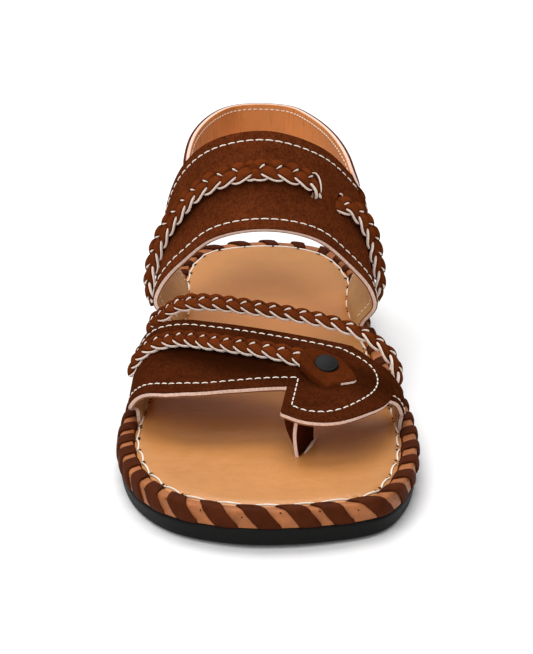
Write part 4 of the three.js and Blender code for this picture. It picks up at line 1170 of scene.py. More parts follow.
def plait_strand(n, number, strip, edges):
    """One strip of a plait, followed by its cut edges."""
    across, rise = n.attribute("across", "FLOAT_VECTOR"), n.attribute("rise", "FLOAT_VECTOR")
    weave, ease = n.attribute("weave"), n.attribute("ease")
    phase = n.math("ADD", n.attribute("turn"), 2 * math.pi * number / STRANDS)
    sine = n.math("SINE", phase)
    swing = n.times(sine, n.source["Spread"], ease)
    late = n.math("SUBTRACT", n.times(phase, 2.0), n.times(weave, PLAIT_LAG))
    height = n.times(n.math("SINE", late), weave)
    fall = n.times(sine, sine, n.source["Dome"], ease)
    lift = n.math("SUBTRACT", n.times(height, n.source["Rise"]), fall)
    offset = n.vector("ADD", n.vector("SCALE", across, scale=swing), n.vector("SCALE", rise, scale=lift))
    moved = n.add("GeometryNodeSetPosition", {"Geometry": n.source["Geometry"], "Offset": offset})
    # Painted shade where the strip dips under the others.
    moved = n.store(moved, "crossing_shade", n.times(n.step(height, 0.5, -0.5), SUNK_SHADE))
    bank = n.times(sine, n.source["Bank"], ease)
    facing = n.vector("ADD", rise, n.vector("SCALE", across, scale=bank))
    run = n.add("GeometryNodeInputTangent")
    along = n.vector("SCALE", run, scale=n.vector("DOT_PRODUCT", run, facing))
    upright = n.vector("NORMALIZE", n.vector("SUBTRACT", facing, along))
    line = n.add("GeometryNodeMeshToCurve", {"Mesh": moved})
    line = n.add("GeometryNodeSetCurveNormal", {"Curve": line, "Normal": upright}, mode="FREE")
    parts = [n.add("GeometryNodeCurveToMesh", {"Curve": line, "Profile Curve": strip, "Fill Caps": True})]
    for side, profile in edges:
        swung = n.times(sine, side)
        inner = n.times(n.step(swung, *SHOWS_PAST_MIDDLE), n.step(swung, *SHOWS_FROM_FAR_BORDER))
        shown = n.math("MAXIMUM", n.step(swung, *SHOWS_AT_BORDER), inner)
        size = n.math("ADD", EDGE_SLIM, n.times(shown, 1 - EDGE_SLIM))
        edge = n.add("GeometryNodeCurveToMesh", {
            "Curve": line, "Profile Curve": profile, "Scale": size, "Fill Caps": True})
        parts.append(n.store(edge, "cut_edge", True, "BOOLEAN", "FACE"))
    return parts


def plait_nodes():
    """Three flat strips that swing from side to side and over and under each other."""
    n = Nodes("three_strip_plait", [
        "Spread", "Rise", "Dome", "Bank", "Width", "Thickness", "Crown", "Edge"])
    strip, edges = strip_profile(n), cut_edge_profiles(n)
    parts = [part for number in range(STRANDS) for part in plait_strand(n, number, strip, edges)]
    # The strips' cut edges get the paler edge colour, which is painted light.
    n.finish(n.join(parts), "plait_suede", "strip_edge")
    return n


# Paths.
PATH_POINTS = 900
PATH_SPACING = 0.45
FLIP_BLEND = 0.4  # half the turn over which a plait's pattern turns round, in radians


def even_line(points, values, pitch=None, count=None):
    """Resamples a line and the values along it evenly by length."""
    run = np.concatenate([[0], np.cumsum(np.linalg.norm(np.diff(points, axis=0), axis=1))])
    count = count or max(2, int(round(run[-1] / pitch)))
    goals = (np.arange(count) + 0.5) / count * run[-1] if pitch else np.linspace(0, run[-1], count)

    def pick(rows):
        return np.column_stack([np.interp(goals, run, column) for column in rows.T])

    return pick(points), [unit(pick(rows)) for rows in values], run[-1] / count


def stitches_along(points, ups, pitch, fill):
    """Stitch places along a line: points, directions, normals and lengths."""
    runs = np.gradient(points, axis=0)
    places, (runs, ups), step = even_line(points, [runs, ups], pitch=pitch)
    return places, runs, ups, np.full(len(places), step * fill)


def sew(name, rows, thread, bow, sink):
    """One piece of stitching from several rows of places."""
    points, runs, ups, reach = (np.concatenate(parts) for parts in zip(*rows))
    guide = guide_mesh(name, points, {"run": runs, "up": ups, "reach": reach * MM})
    values = {"Thread": thread * MM, "Bow": bow * MM, "Sink": sink * MM}
    return grow(name, guide, stitch_nodes(), values)


def strap_line(strap, us, vs, height):
    """A line on a strap at a height over its middle surface, with its normals."""
    points, normals = strap.frame(us, vs)
    side = 1 if height > 0 else -1
    return points + normals * height, normals * side


class PlaitPath:
    """A plait's way, evenly spaced, with its frame at each place."""

    def __init__(self, points, facing):
        length = np.sum(np.linalg.norm(np.diff(points, axis=0), axis=1))
        self.count = int(length / PATH_SPACING)
        self.length = length
        self.points, (self.rise,), _ = even_line(points, [unit(facing)], count=self.count)
        run = unit(np.gradient(self.points, axis=0))
        self.across = unit(np.cross(run, self.rise))
        self.rise = np.cross(self.across, run)
        self.share = np.linspace(0, 1, self.count)


def path_on_strap(strap, rows, low=0.0, high=1.0, to_front=0.0, to_top=0.0):
    """A plait's way over a strap; between the heights low and high it turns from the toe to the top."""
    sizes = sizes_in_mm()
    scale = np.array([100.0, 10.0, 1.0])  # brings the three columns to like reach
    guide = curve_through([np.array([strap.share(r.row), r.share, r.lift]) * scale for r in rows])
    places = guide(np.linspace(0, 1, PATH_POINTS)) / scale
    points, normals = strap.frame(places[:, 0], places[:, 1])
    height = sizes.strap_wall / 2 + GAP + PLAIT_MIDDLE + places[:, 2]
    risen = smoothstep(points[:, 2], low, high)
    lean = np.column_stack([np.zeros(len(risen)), to_front * (risen - 1), to_top * risen])
    return PlaitPath(points + normals * height[:, None], normals + lean)


def middle_plait_path():
    """The free plait springs from the groove on both sides."""

    def down(foot):
        middle = (foot.front + foot.rear) / 2
        return [edge_point(foot.side, middle, FOOT_OUT - MIDDLE_PLAIT_INSET + step.out, step.height)[0]
                for step in FOOT_STEPS]

    rail = curve_through(
        down(FEET["plait_lateral"])[::-1] + [over(row) for row in MIDDLE_PLAIT_ROWS]
        + down(FEET["plait_medial"]))
    points = rail(np.linspace(0, 1, PATH_POINTS))
    height = points[:, 2] - insole_top(along_of(points[:, 1]))
    lean, low, high = MIDDLE_PLAIT_LEAN
    risen = smoothstep(height, low, high)
    half_span, arch_rise = MIDDLE_PLAIT_ARCH
    normals = unit(np.column_stack([
        points[:, 0] / half_span, -lean * risen, np.maximum(height, 0) / arch_rise]))
    stand = PLAIT_MIDDLE * (MIDDLE_PLAIT_SEAT + (1 - MIDDLE_PLAIT_SEAT) * risen)
    points = points + normals * stand[:, None]
    points[:, 2] += MIDDLE_PLAIT_LIFT * risen
    return PlaitPath(points, normals)


def make_plait(name, node, path, lobes, ease, weave=1, flip=1.0, size=1.0):
    """A plait of three strips along a path; at the share flip the pattern turns round."""
    sizes = sizes_in_mm()
    lobe = np.interp(path.share, [p.share for p in lobes], [p.lobe for p in lobes])
    turn = np.cumsum(2 * np.pi / (STRANDS * lobe) * path.length / path.count)
    crossing = np.full(path.count, weave)
    if flip < 1:
        crossing_turn = np.pi / STRANDS
        between = np.round(np.interp(flip, path.share, turn) / crossing_turn) * crossing_turn
        crossing = weave * (1 - 2 * smoothstep(turn, between - FLIP_BLEND, between + FLIP_BLEND))
    guide = guide_mesh(name, path.points, {
        "across": path.across, "rise": path.rise, "turn": turn, "weave": crossing,
        "ease": ease(path.share)}, [(i, i + 1) for i in range(path.count - 1)])
    values = {
        "Spread": sizes.plait_spread * size * MM,
        "Rise": sizes.plait_rise * MM,
        "Dome": sizes.plait_dome * MM,
        "Bank": PLAIT_BANK,
        "Width": sizes.strip_width * size * MM,
        "Thickness": sizes.strip_thickness * MM,
        "Crown": sizes.strip_crown * MM,
        "Edge": sizes.cut_edge * MM,
    }
    return grow(name, guide, plait_nodes(), values, [node])


# The sole.
PLATE_POINTS = 720
OUTSOLE_COLUMNS = 8
INSOLE_COLUMNS = 26

# Rings round the outsole: in from its foot and over the ground, then in from its outer line and over
# its top.
Ring = namedtuple("Ring", "inset height")
FOOT_RINGS = [Ring(1.6, 0.0), Ring(0.7, 0.25), Ring(0.15, 0.85), Ring(0.0, 1.6)]
TOP_RINGS = [Ring(0.15, -1.6), Ring(0.0, -1.1), Ring(0.1, -0.5), Ring(0.6, 0.0)]
RAND_FOOT_RINGS = [Ring(0.0, 0.5), Ring(0.2, 0.15), Ring(0.6, 0.0)]  # in and up from its lower corner


def plate_ring(out, height):
    flat = offset_plan(np.arange(PLATE_POINTS) / PLATE_POINTS, out) - CENTRE
    return np.column_stack([flat, height(along_of(flat[:, 1]))])


def plate(rings, columns, height_low, height_top):
    """A plate from rings round its edge; its faces are filled between the two sides."""
    count = PLATE_POINTS
    points = [np.vstack(rings)]
    faces = ring_faces(len(rings), count, closed_run=False)
    total = len(rings) * count
    for base, height in ((0, height_low), (len(rings) - 1, height_top)):
        ring = rings[base]
        lines = [np.arange(0, count // 2 + 1) + base * count]
        for k in range(1, columns):
            share = k / columns
            mid = np.arange(1, count // 2)
            inner = ring[mid] * (1 - share) + ring[(-mid) % count] * share
            inner[:, 2] = height(inner[:, 0], inner[:, 1])
            ids = np.arange(len(inner)) + total
            total += len(inner)
            points.append(inner)
            lines.append(np.concatenate([[base * count], ids, [base * count + count // 2]]))
        lines.append((-np.arange(0, count // 2 + 1)) % count + base * count)
        for left, right in zip(lines, lines[1:]):
            for i in range(count // 2):
                face = [left[i], left[i + 1], right[i + 1], right[i]]
                if base == 0:
                    face.reverse()
                face = list(dict.fromkeys(int(v) for v in face))
                if len(face) > 2:
                    faces.append(tuple(face))
    return np.vstack(points), faces


def make_outsole():
    foot = OUTSOLE_OUTER - OUTSOLE_DRAFT
    levels = [(foot, ground_height, ring) for ring in FOOT_RINGS]
    levels += [(OUTSOLE_OUTER, outsole_top, ring) for ring in TOP_RINGS]
    rings = [
        plate_ring(line - ring.inset, lambda along: base(along) + ring.height)
        for line, base, ring in levels]
    points, faces = plate(
        rings, OUTSOLE_COLUMNS, lambda x, y: ground_height(along_of(y)),
        lambda x, y: outsole_top(along_of(y)))
    mesh = make_mesh("outsole_rubber", points, faces, ["rubber"])
    return add_piece(mesh, ["outsole"])


# Hollows in the padded insole, in millimetres: place, reach and depth.
INSOLE_DENTS = [
    Dent(-14.0, -62.0, 26.0, 9.0, 0.8),
    Dent(10.0, -58.0, 14.0, 8.0, 0.6),
    Dent(30.0, -78.0, 8.0, 12.0, 0.5),
    Dent(-22.0, -84.0, 18.0, 6.0, -0.4),
    Dent(12.7, -80.0, 5.0, 11.0, 0.9),
    Dent(0.0, 96.0, 20.0, 26.0, 0.7),
    Dent(-2.0, -30.0, 30.0, 24.0, 0.6),
]
STITCH_AT = 0.58  # middle of a stitch round the insole, in wraps of the lace
INSOLE_OUT = 0.35  # the insole's edge, out from the seam
INSOLE_INSETS = (0.0, 0.4, 0.9, 1.5, 2.3, 3.2, 4.4, 6.0, 8.5)  # rings in from that edge
INSOLE_EDGE_FALL = 1.5
INSOLE_EDGE_POWER = 2.4
INSOLE_SIDE = 3.0  # where its side begins, below its top
INSOLE_PAD = 6.5
INSOLE_CROWN = 0.25
PUCKER_DEPTH = 0.55  # of the leather at each end of a stitch
PUCKER_REACH = 1.1
PUCKER_INSET = 1.0


def insole_relief(x, y):
    fall = np.zeros(np.shape(x))
    for dent in INSOLE_DENTS:
        away = ((x - dent.x) / dent.wide) ** 2 + ((y - dent.y) / dent.long) ** 2
        fall = fall + dent.depth * np.exp(-away)
    return fall


def insole_surface(x, y):
    return insole_top(along_of(y)) + INSOLE_CROWN - insole_relief(x, y)


def make_insole():
    sizes = sizes_in_mm()
    shares = np.arange(PLATE_POINTS) / PLATE_POINTS
    parts = np.interp(shares, SEAM_SHARES, SEAM_RUN) / SEAM_LENGTH
    middles = wrap_part(np.arange(LACE_WRAPS) + STITCH_AT)
    away = np.abs((parts[:, None] - middles + 0.5) % 1 - 0.5).min(axis=1) * SEAM_LENGTH
    hole = np.exp(-((away - sizes.sole_stitch / 2) / PUCKER_REACH) ** 2)
    rings = [
        plate_ring(INSOLE_OUT - 0.05, lambda along: outsole_top(along) + GAP),
        plate_ring(INSOLE_OUT, lambda along: insole_top(along) - INSOLE_SIDE)]
    for inset in INSOLE_INSETS:
        flat = offset_plan(shares, INSOLE_OUT - inset) - CENTRE
        edge = INSOLE_EDGE_FALL * np.clip(1 - inset / INSOLE_PAD, 0, 1) ** INSOLE_EDGE_POWER
        pucker = PUCKER_DEPTH * hole * np.exp(-((inset - PUCKER_INSET) / PUCKER_REACH) ** 2)
        height = insole_surface(flat[:, 0], flat[:, 1]) - edge - pucker
        rings.append(np.column_stack([flat, height]))
    points, faces = plate(
        rings, INSOLE_COLUMNS, lambda x, y: outsole_top(along_of(y)) + GAP, insole_surface)
    mesh = make_mesh("insole_pad", points, faces, ["insole_leather"])
    piece = add_piece(mesh, ["insole"])
    return piece


def make_rand():
    low = RAND_TOP - RAND_HEIGHT
    corner = RAND_CORNER
    arc = np.radians(np.linspace(90, 0, 6))
    section = [
        (RAND_INNER, low), (RAND_INNER, RAND_TOP - RAND_BEVEL), (RAND_INNER + RAND_BEVEL, RAND_TOP)]
    section += [(RAND_OUTER - corner + corner * math.cos(a), RAND_TOP - corner + corner * math.sin(a))
                for a in arc]
    section += [(RAND_OUTER - ring.inset, low + ring.height) for ring in RAND_FOOT_RINGS]
    parts = np.arange(RAND_SECTIONS) / RAND_SECTIONS
    rows = np.stack([edge_at_length(parts, out, height) for out, height in section], axis=1)
    mesh = make_mesh(
        "rand_leather", rows.reshape(-1, 3), ring_faces(RAND_SECTIONS, len(section)), ["rand_leather"])
    return add_piece(mesh, ["rand"])


# Where the wraps stray from even spacing: wrap number and shift in wraps.
WRAP_SHIFTS = [
    (0.0, -0.45), (1.5, -0.43), (2.5, -0.6), (3.5, -0.47), (4.5, -0.42), (8.0, -0.1),
    (19.0, 0.7), (31.0, -0.75), (42.0, 0.0), (46.0, -0.35), (48.5, -0.46), (50.0, -0.45)]

# Width of the lace as a share of its full width: wrap number and share.
LACE_TAPER = [
    (0.0, 1.0), (6.0, 0.92), (12.0, 0.82), (20.0, 0.72), (25.0, 0.66),
    (30.0, 0.72), (38.0, 0.82), (44.0, 0.92), (50.0, 1.0)]

# Section of the lace: to the side in half widths, and up in thicknesses.
LACE_PROFILE = [
    (-1, -0.3), (-1, 0.12), (-0.93, 0.36), (-0.6, 0.5), (0, 0.54),
    (0.6, 0.5), (0.93, 0.36), (1, 0.12), (1, -0.3), (0, -0.45)]
LACE_STOPS = 34  # sections in one turn of the lace


def wrap_part(wraps):
    """The part of the seam's length at which a wrap lies."""
    numbers, shifts = zip(*WRAP_SHIFTS)
    return (wraps + np.interp(wraps % LACE_WRAPS, numbers, shifts)) / LACE_WRAPS


def lace_turn():
    """One turn of the lace: out, height and how far it has moved on as a share of the pitch."""
    thickness = sizes_in_mm().lace_thickness
    stand = thickness * 0.5
    inner, outer = RAND_INNER - 0.2, RAND_OUTER + stand
    top, low = RAND_TOP + stand, RAND_TOP - RAND_HEIGHT + 0.2
    return np.array([
        (inner, low + 0.5, 0.0),
        (inner, top - 1.0, 0.05),
        (inner + 0.5, top - 0.2, 0.08),
        (inner + 1.3, top, 0.12),
        (outer - 1.6, top, 0.27),
        (outer - 0.45, top - 0.5, 0.32),
        (outer, top - 1.7, 0.37),
        (outer, low + 1.2, 0.6),
        (outer - 1.0, low, 0.66),
        (inner + 0.9, low, 0.92),
    ])


def make_lacing():
    sizes = sizes_in_mm()
    turn = lace_turn()
    share = np.arange(LACE_STOPS) / LACE_STOPS
    ring = curve_through(turn[:, :2], closed=True)(share)
    moves = np.interp(share * len(turn), np.arange(len(turn) + 1), np.append(turn[:, 2], 1.0))
    run = unit(np.roll(ring, -1, axis=0) - np.roll(ring, 1, axis=0))
    outward = np.column_stack([-run[:, 1], run[:, 0]])
    thick = sizes.lace_thickness
    wraps = (np.arange(LACE_WRAPS)[:, None] + moves).ravel()
    numbers, shares = zip(*LACE_TAPER)
    half = sizes.lace_width / 2 / SEAM_LENGTH * np.interp(wraps % LACE_WRAPS, numbers, shares)
    sections = []
    for side, rise in LACE_PROFILE:
        out = np.tile(ring[:, 0] + outward[:, 0] * rise * thick, LACE_WRAPS)
        height = np.tile(ring[:, 1] + outward[:, 1] * rise * thick, LACE_WRAPS)
        sections.append(edge_at_length(wrap_part(wraps) + side * half, out, height))
    rows = np.stack(sections, axis=1)
    mesh = make_mesh(
        "edge_lace", rows.reshape(-1, 3), ring_faces(len(rows), len(LACE_PROFILE)), ["lace_leather"])
    return add_piece(mesh, ["edge_lacing"])


PINHOLE_AT = 0.93  # in wraps of the lace
PINHOLE_HEIGHT = -1.9  # over the insole's top
PINHOLE_RADIUS = 0.32
PINHOLE_SINK = 0.02
SOLE_STITCH_OUT = -0.95  # from the seam
SOLE_STITCH_HEIGHT = -0.5  # over the insole's top
SOLE_STITCH_LEAN = (0.8, 0.6)  # its outside looks inwards and up
SOLE_STITCH_BOW, SOLE_STITCH_SINK = 0.35, 0.5
STITCH_HOLE_OUT = -1.45
STITCH_HOLE_HEIGHT = -0.85
STITCH_HOLE_TILT = 0.25
STITCH_HOLE_RADIUS = 0.55
STITCH_HOLE_LENGTH = 1.8  # in radii
NEXT_PART = 1e-4  # a short way on along the seam


def stray(numbers, pace, reach):
    """Small uneven shifts that are the same each run."""
    return np.sin(numbers * pace) * reach


def make_pinholes():
    """One pinhole in the outer face of each tan stretch of the rand, as a dot of painted shade."""
    numbers = np.arange(LACE_WRAPS) + PINHOLE_AT
    height = PINHOLE_HEIGHT + stray(numbers, 7.77, 0.9)
    parts = wrap_part(numbers + stray(numbers, 12.9898, 0.08))
    points = edge_at_length(parts, RAND_OUTER - PINHOLE_SINK, height)
    beyond = edge_at_length(parts, RAND_OUTER + 1, height)
    ahead = edge_at_length(parts + NEXT_PART, RAND_OUTER - PINHOLE_SINK, height)
    guide = guide_mesh("rand_pinholes", points, {
        "up": unit(beyond - points), "run": unit(ahead - points)})
    return grow("rand_pinholes", guide, pinhole_nodes(), {"Radius": PINHOLE_RADIUS * MM, "Length": 1.0})


def make_sole_stitching():
    """One long stitch beside each tan stretch, with a dot of painted shade for a hole at either end."""
    sizes = sizes_in_mm()
    numbers = np.arange(LACE_WRAPS)
    parts = wrap_part(numbers + STITCH_AT)
    out = SOLE_STITCH_OUT + stray(numbers, 2.399, 0.25)
    points = edge_at_length(parts, out, SOLE_STITCH_HEIGHT)
    runs = edge_at_length(parts + NEXT_PART, out, SOLE_STITCH_HEIGHT) - points
    inward = edge_at_length(parts, out - 1, SOLE_STITCH_HEIGHT) - points
    inwards, upwards = SOLE_STITCH_LEAN
    ups = unit(inward * inwards + np.array([0.0, 0.0, upwards]))
    reach = sizes.sole_stitch * (1 + stray(numbers, 4.1, 0.06))
    rows = [(points, unit(runs), ups, reach)]
    sew("insole_stitching", rows, sizes.sole_thread, SOLE_STITCH_BOW, SOLE_STITCH_SINK)
    step = sizes.sole_stitch / 2 / SEAM_LENGTH
    parts = np.concatenate([parts - step, parts + step])
    points = edge_at_length(parts, STITCH_HOLE_OUT, STITCH_HOLE_HEIGHT)
    inward = edge_at_length(parts, STITCH_HOLE_OUT - 1, STITCH_HOLE_HEIGHT + STITCH_HOLE_TILT) - points
    ups = np.tile([0.0, 0.0, 1.0], (len(parts), 1))
    guide = guide_mesh("insole_stitch_holes", points, {"up": ups, "run": unit(inward)})
    values = {"Radius": STITCH_HOLE_RADIUS * MM, "Length": STITCH_HOLE_LENGTH}
    return grow("insole_stitch_holes", guide, pinhole_nodes(), values)


# The straps.
LOBE_POINTS = 90
LOBE_CLOSE = 4.0  # how far the cutting line runs back to the lateral side behind the lobe

# Where the front strap is darker, painted shadow of the front plait together with darker nap: rows
# between which it sets in and eases on the lobe, and shares of the width between which it comes and goes.
DARK_ROWS = (1.3, 3.2)
DARK_LOBE_ROWS = (5.2, 6.3)
DARK_FRONT = (0.2, 0.55)
DARK_REAR = (0.66, 0.76)
LOBE_EASE, REAR_EASE = 0.35, 0.5  # how much it eases there

# The two slits that the instep plait goes through: row and share on the strap, half their length along
# and across it in millimetres, and the stretch of their rim that is turned up, in degrees.
Slit = namedtuple("Slit", "row share half_along half_across lip")
SLITS = [Slit(4.95, 0.545, 3.0, 5.8, (125, -25)), Slit(5.8, 0.55, 2.1, 5.0, (120, 60))]
SLIT_RIM = 0.05  # width of the rim that has the colour of the suede
LIP_POINTS = 30
LIP_STAND = 0.1  # middle of a rim over the strap
LIP_END, LIP_SWELL = 0.1, 0.26  # radius at its ends, and more in its middle
HEEL_CORE = 0.35
HEEL_LINED = 0.84  # share of the heel strap up to which its lining shows


def cut_line():
    """The front strap's cutting line in plan, from the lateral side to the rear of the lobe."""
    flat = [plan(row) - CENTRE for row in BAND_FRONT]
    lobe = curve_through([plan(row) - CENTRE for row in LOBE_ROWS])(np.linspace(0, 1, LOBE_POINTS))
    return np.vstack([flat, lobe])


def distance_inside(flat, line):
    """Signed distance from the cutting line: positive where leather stays."""
    far, behind = BALL_WIDTH, LAST_LENGTH
    corners = np.vstack([
        [[-far, -behind], [line[0, 0], -behind]],
        line,
        [[line[-1, 0] - LOBE_CLOSE, behind], [-far, behind]]])
    nearest = np.full(len(flat), np.inf)
    inside = np.zeros(len(flat), bool)
    for start, end in zip(corners, np.roll(corners, -1, axis=0)):
        run = end - start
        share = np.clip(((flat - start) @ run) / (run @ run), 0, 1)
        nearest = np.minimum(nearest, np.linalg.norm(flat - start - share[:, None] * run, axis=1))
        crosses = (start[1] > flat[:, 1]) != (end[1] > flat[:, 1])
        rise = end[1] - start[1] or ALMOST_ZERO
        meets = start[0] + (flat[:, 1] - start[1]) / rise * run[0]
        inside ^= crosses & (flat[:, 0] < meets)
    return np.where(inside, nearest, -nearest)


def edge_margin(strap, places):
    """Distance to the nearer long edge of a strap."""
    width = strap.width(places[:, 0])
    return np.minimum(places[:, 1], 1 - places[:, 1]) * width


def make_front_strap():
    line = cut_line()

    def stays(places):
        return distance_inside(FRONT_STRAP(places[:, 0], places[:, 1])[:, :2], line)

    def margin(places):
        return np.minimum(edge_margin(FRONT_STRAP, places), np.abs(stays(places)))

    def dark(places):
        """Painted shadow of the plait round and in front of it, together with darker nap there."""
        along, across = places[:, 0], places[:, 1]
        sets_in = smoothstep(along, *FRONT_STRAP.share(DARK_ROWS))
        lobe = 1 - LOBE_EASE * smoothstep(along, *FRONT_STRAP.share(DARK_LOBE_ROWS))
        rear = 1 - REAR_EASE * smoothstep(across, *DARK_REAR)
        return sets_in * lobe * smoothstep(across, *DARK_FRONT) * rear

    mesh = strap_wall(
        "front_strap_leather", FRONT_STRAP, 240, 80, margin,
        FRONT_FINISH, [stays], dark=dark)
    return add_piece(mesh, ["front_strap"])


def make_under_strap():
    mesh = strap_wall(
        "under_strap_leather", UNDER_STRAP, 90, 24,
        lambda places: edge_margin(UNDER_STRAP, places), FRONT_FINISH)
    return add_piece(mesh)


def slit_scale(slit):
    """A slit's share along the instep strap, and the millimetres in a whole share along and across."""
    share, step = INSTEP_STRAP.share(slit.row), 0.004
    before, after = INSTEP_STRAP([share - step, share + step], slit.share)
    return share, np.linalg.norm(after - before) / (2 * step), INSTEP_STRAP.width(np.array([share]))[0]


def slit_distance(places):
    """Distance from the nearest slit, positive outside it."""
    nearest = np.full(len(places), np.inf)
    for slit in SLITS:
        share, length, width = slit_scale(slit)
        run, side = (places[:, 0] - share) * length, (places[:, 1] - slit.share) * width
        radius = np.hypot(run / slit.half_along, side / slit.half_across)
        nearest = np.minimum(nearest, (radius - 1) * min(slit.half_along, slit.half_across))
    return nearest


def make_instep_strap():
    def margin(places):
        return np.minimum(edge_margin(INSTEP_STRAP, places), np.abs(slit_distance(places)))

    mesh = strap_wall(
        "instep_strap_leather", INSTEP_STRAP, 300, 64, margin,
        INSTEP_FINISH, [slit_distance],
        lambda places: at_ends(places) | (np.abs(slit_distance(places)) < SLIT_RIM))
    return add_piece(mesh, ["instep_strap"])


def make_slit_lips():
    """The turned-up rims of the slits, as thin tapering rolls."""
    points, faces = [], []
    for slit in SLITS:
        angles = np.radians(np.linspace(*slit.lip, LIP_POINTS))
        share, length, width = slit_scale(slit)
        u = share + np.cos(angles) * slit.half_along / length
        v = slit.share + np.sin(angles) * slit.half_across / width
        line, normals = strap_line(INSTEP_STRAP, u, v, sizes_in_mm().strap_wall / 2 + LIP_STAND)
        side = unit(np.cross(np.gradient(line, axis=0), normals))
        radius = LIP_END + LIP_SWELL * np.sin(np.linspace(0, np.pi, LIP_POINTS))
        rings, roll = tube(line, side, normals, radius)
        base = sum(len(part) for part in points)
        points.append(rings)
        faces += [tuple(base + i for i in face) for face in roll]
    # The rims get the paler edge colour, which is painted light on rims in shade.
    return add_piece(make_mesh("slit_lips", np.vstack(points), faces, ["strip_edge"]))


def make_heel_strap():
    mesh = strap_wall(
        "heel_strap_leather", HEEL_STRAP, 240, 26,
        lambda places: edge_margin(HEEL_STRAP, places), HEEL_FINISH, core=HEEL_CORE,
        lined=lambda places: places[:, 0] < HEEL_LINED)
    return add_piece(mesh)


SEAM_SMOOTHING = 25  # points, an odd number
INSET_POINTS = 1400
SHARPEST = 0.25  # keeps the inset of a sharp corner short
LOOP_CLEAR = 0.97  # nearest that a moved point may come to the line, in insets


def inset_line(line, insets):
    """A cutting line moved into the leather by an inset for each stretch, without loops at corners."""
    run = unit(np.diff(line, axis=0))
    left = np.column_stack([-run[:, 1], run[:, 0]])
    before, after = np.vstack([left[:1], left]), np.vstack([left, left[-1:]])
    first, second = np.append(insets[:1], insets), np.append(insets, insets[-1:])
    turn = np.sum(before * after, axis=1)
    both = (first + second) / 2 / np.maximum(1 + turn, SHARPEST)
    change = (second - first) / 2 / np.maximum(1 - turn, SHARPEST)
    offset = both[:, None] * (before + after) + change[:, None] * (after - before)
    moved, _, _ = even_line(line + offset, [], count=INSET_POINTS)
    clear = moved[distance_inside(moved, line) > np.min(insets) * LOOP_CLEAR]
    kernel = np.ones(SEAM_SMOOTHING) / SEAM_SMOOTHING
    side = SEAM_SMOOTHING // 2
    padded = np.pad(clear, ((side, side), (0, 0)), mode="edge")
    return np.column_stack([np.convolve(column, kernel, mode="valid") for column in padded.T])


STITCH_FILL = 0.8  # stitch length in pitches
INNER_PITCH = 0.65  # pitch on the lining, as a share of the outside's
STITCH_STAND = 0.05  # thread over the leather
STITCH_BOW = 0.22
STITCH_SINK = 0.3
SEAM_POINTS = 700
DEEP_INSET = 1.3  # inset of the front seams in stitch insets
NOTCH_INSET = 0.75  # and at the notch beside the lobe
FRONT_PITCH = 3.1
REAR_PITCH = 3.3
UNDER_PITCH = 2.6
UNDER_INSET = 3.0
HEEL_INSET = 2.0
HEEL_PITCH = 0.92  # in pitches of the instep strap
SIDE_SEAM_POINTS, REAR_SEAM_POINTS = 200, 500

# Where seams begin and end: rows of their strap, and shares of the heel strap's length.
INSTEP_SEAM = (-0.9, 8.9)
FRONT_SEAM = (-0.6, 7.5)
UNDER_SEAM = (0.4, 3.8)
HEEL_SEAM = (0.09, 0.91)


def seam_rows(strap, us, vs, pitch):
    """The stitches of one seam on both faces of a strap."""
    height = sizes_in_mm().strap_wall / 2 + STITCH_STAND
    rows = []
    for face, step in ((1, pitch), (-1, pitch * INNER_PITCH)):
        points, ups = strap_line(strap, us, vs, height * face)
        rows.append(stitches_along(points, ups, step, STITCH_FILL))
    return rows


def sew_straps(name, rows):
    return sew(name, rows, sizes_in_mm().strap_thread, STITCH_BOW, STITCH_SINK)


def make_instep_stitching():
    sizes = sizes_in_mm()
    us = INSTEP_STRAP.share(np.linspace(*INSTEP_SEAM, SEAM_POINTS))
    share = sizes.stitch_inset / INSTEP_STRAP.width(us)
    rows = seam_rows(INSTEP_STRAP, us, share, sizes.strap_stitch)
    rows += seam_rows(INSTEP_STRAP, us, 1 - share, sizes.strap_stitch)
    heel = np.linspace(*HEEL_SEAM, SEAM_POINTS)
    share = HEEL_INSET / HEEL_STRAP_DEPTH
    for across in (share, 1 - share):
        rows += seam_rows(HEEL_STRAP, heel, across, sizes.strap_stitch * HEEL_PITCH)
    return sew_straps("instep_stitching", rows)


def make_front_stitching():
    inset = sizes_in_mm().stitch_inset
    deep = inset * DEEP_INSET
    cut = cut_line()
    insets = np.full(len(cut) - 1, deep)
    insets[len(BAND_FRONT) - 1] = inset * NOTCH_INSET
    dense, _, _ = even_line(inset_line(cut, insets), [], count=SEAM_POINTS)
    u, v = FRONT_STRAP.locate(dense)
    start, end = FRONT_STRAP.share(FRONT_SEAM)
    side = np.linspace(start, u[0], SIDE_SEAM_POINTS)[:-1]
    blend = smoothstep(np.arange(len(side)), len(side) * 0.5, len(side))
    lead = deep / FRONT_STRAP.width(side) * (1 - blend) + v[0] * blend
    rows = seam_rows(FRONT_STRAP, np.append(side, u), np.append(lead, v), FRONT_PITCH)
    rear = np.linspace(start, end, REAR_SEAM_POINTS)
    across = 1 - np.linspace(inset, deep, REAR_SEAM_POINTS) / FRONT_STRAP.width(rear)
    rows += seam_rows(FRONT_STRAP, rear, across, REAR_PITCH)
    small = UNDER_STRAP.share(np.linspace(*UNDER_SEAM, SEAM_POINTS))
    rows += seam_rows(UNDER_STRAP, small, UNDER_INSET / UNDER_STRAP.width(small), UNDER_PITCH)
    return sew_straps("front_stitching", rows)


# Plaits.
def make_front_plait():
    path = path_on_strap(FRONT_STRAP, FRONT_PLAIT_ROWS)
    return make_plait(
        "front_plait", "front_braid", path, FRONT_LOBES,
        lambda share: 1 - 0.25 * smoothstep(share, 0.9, 1.0))


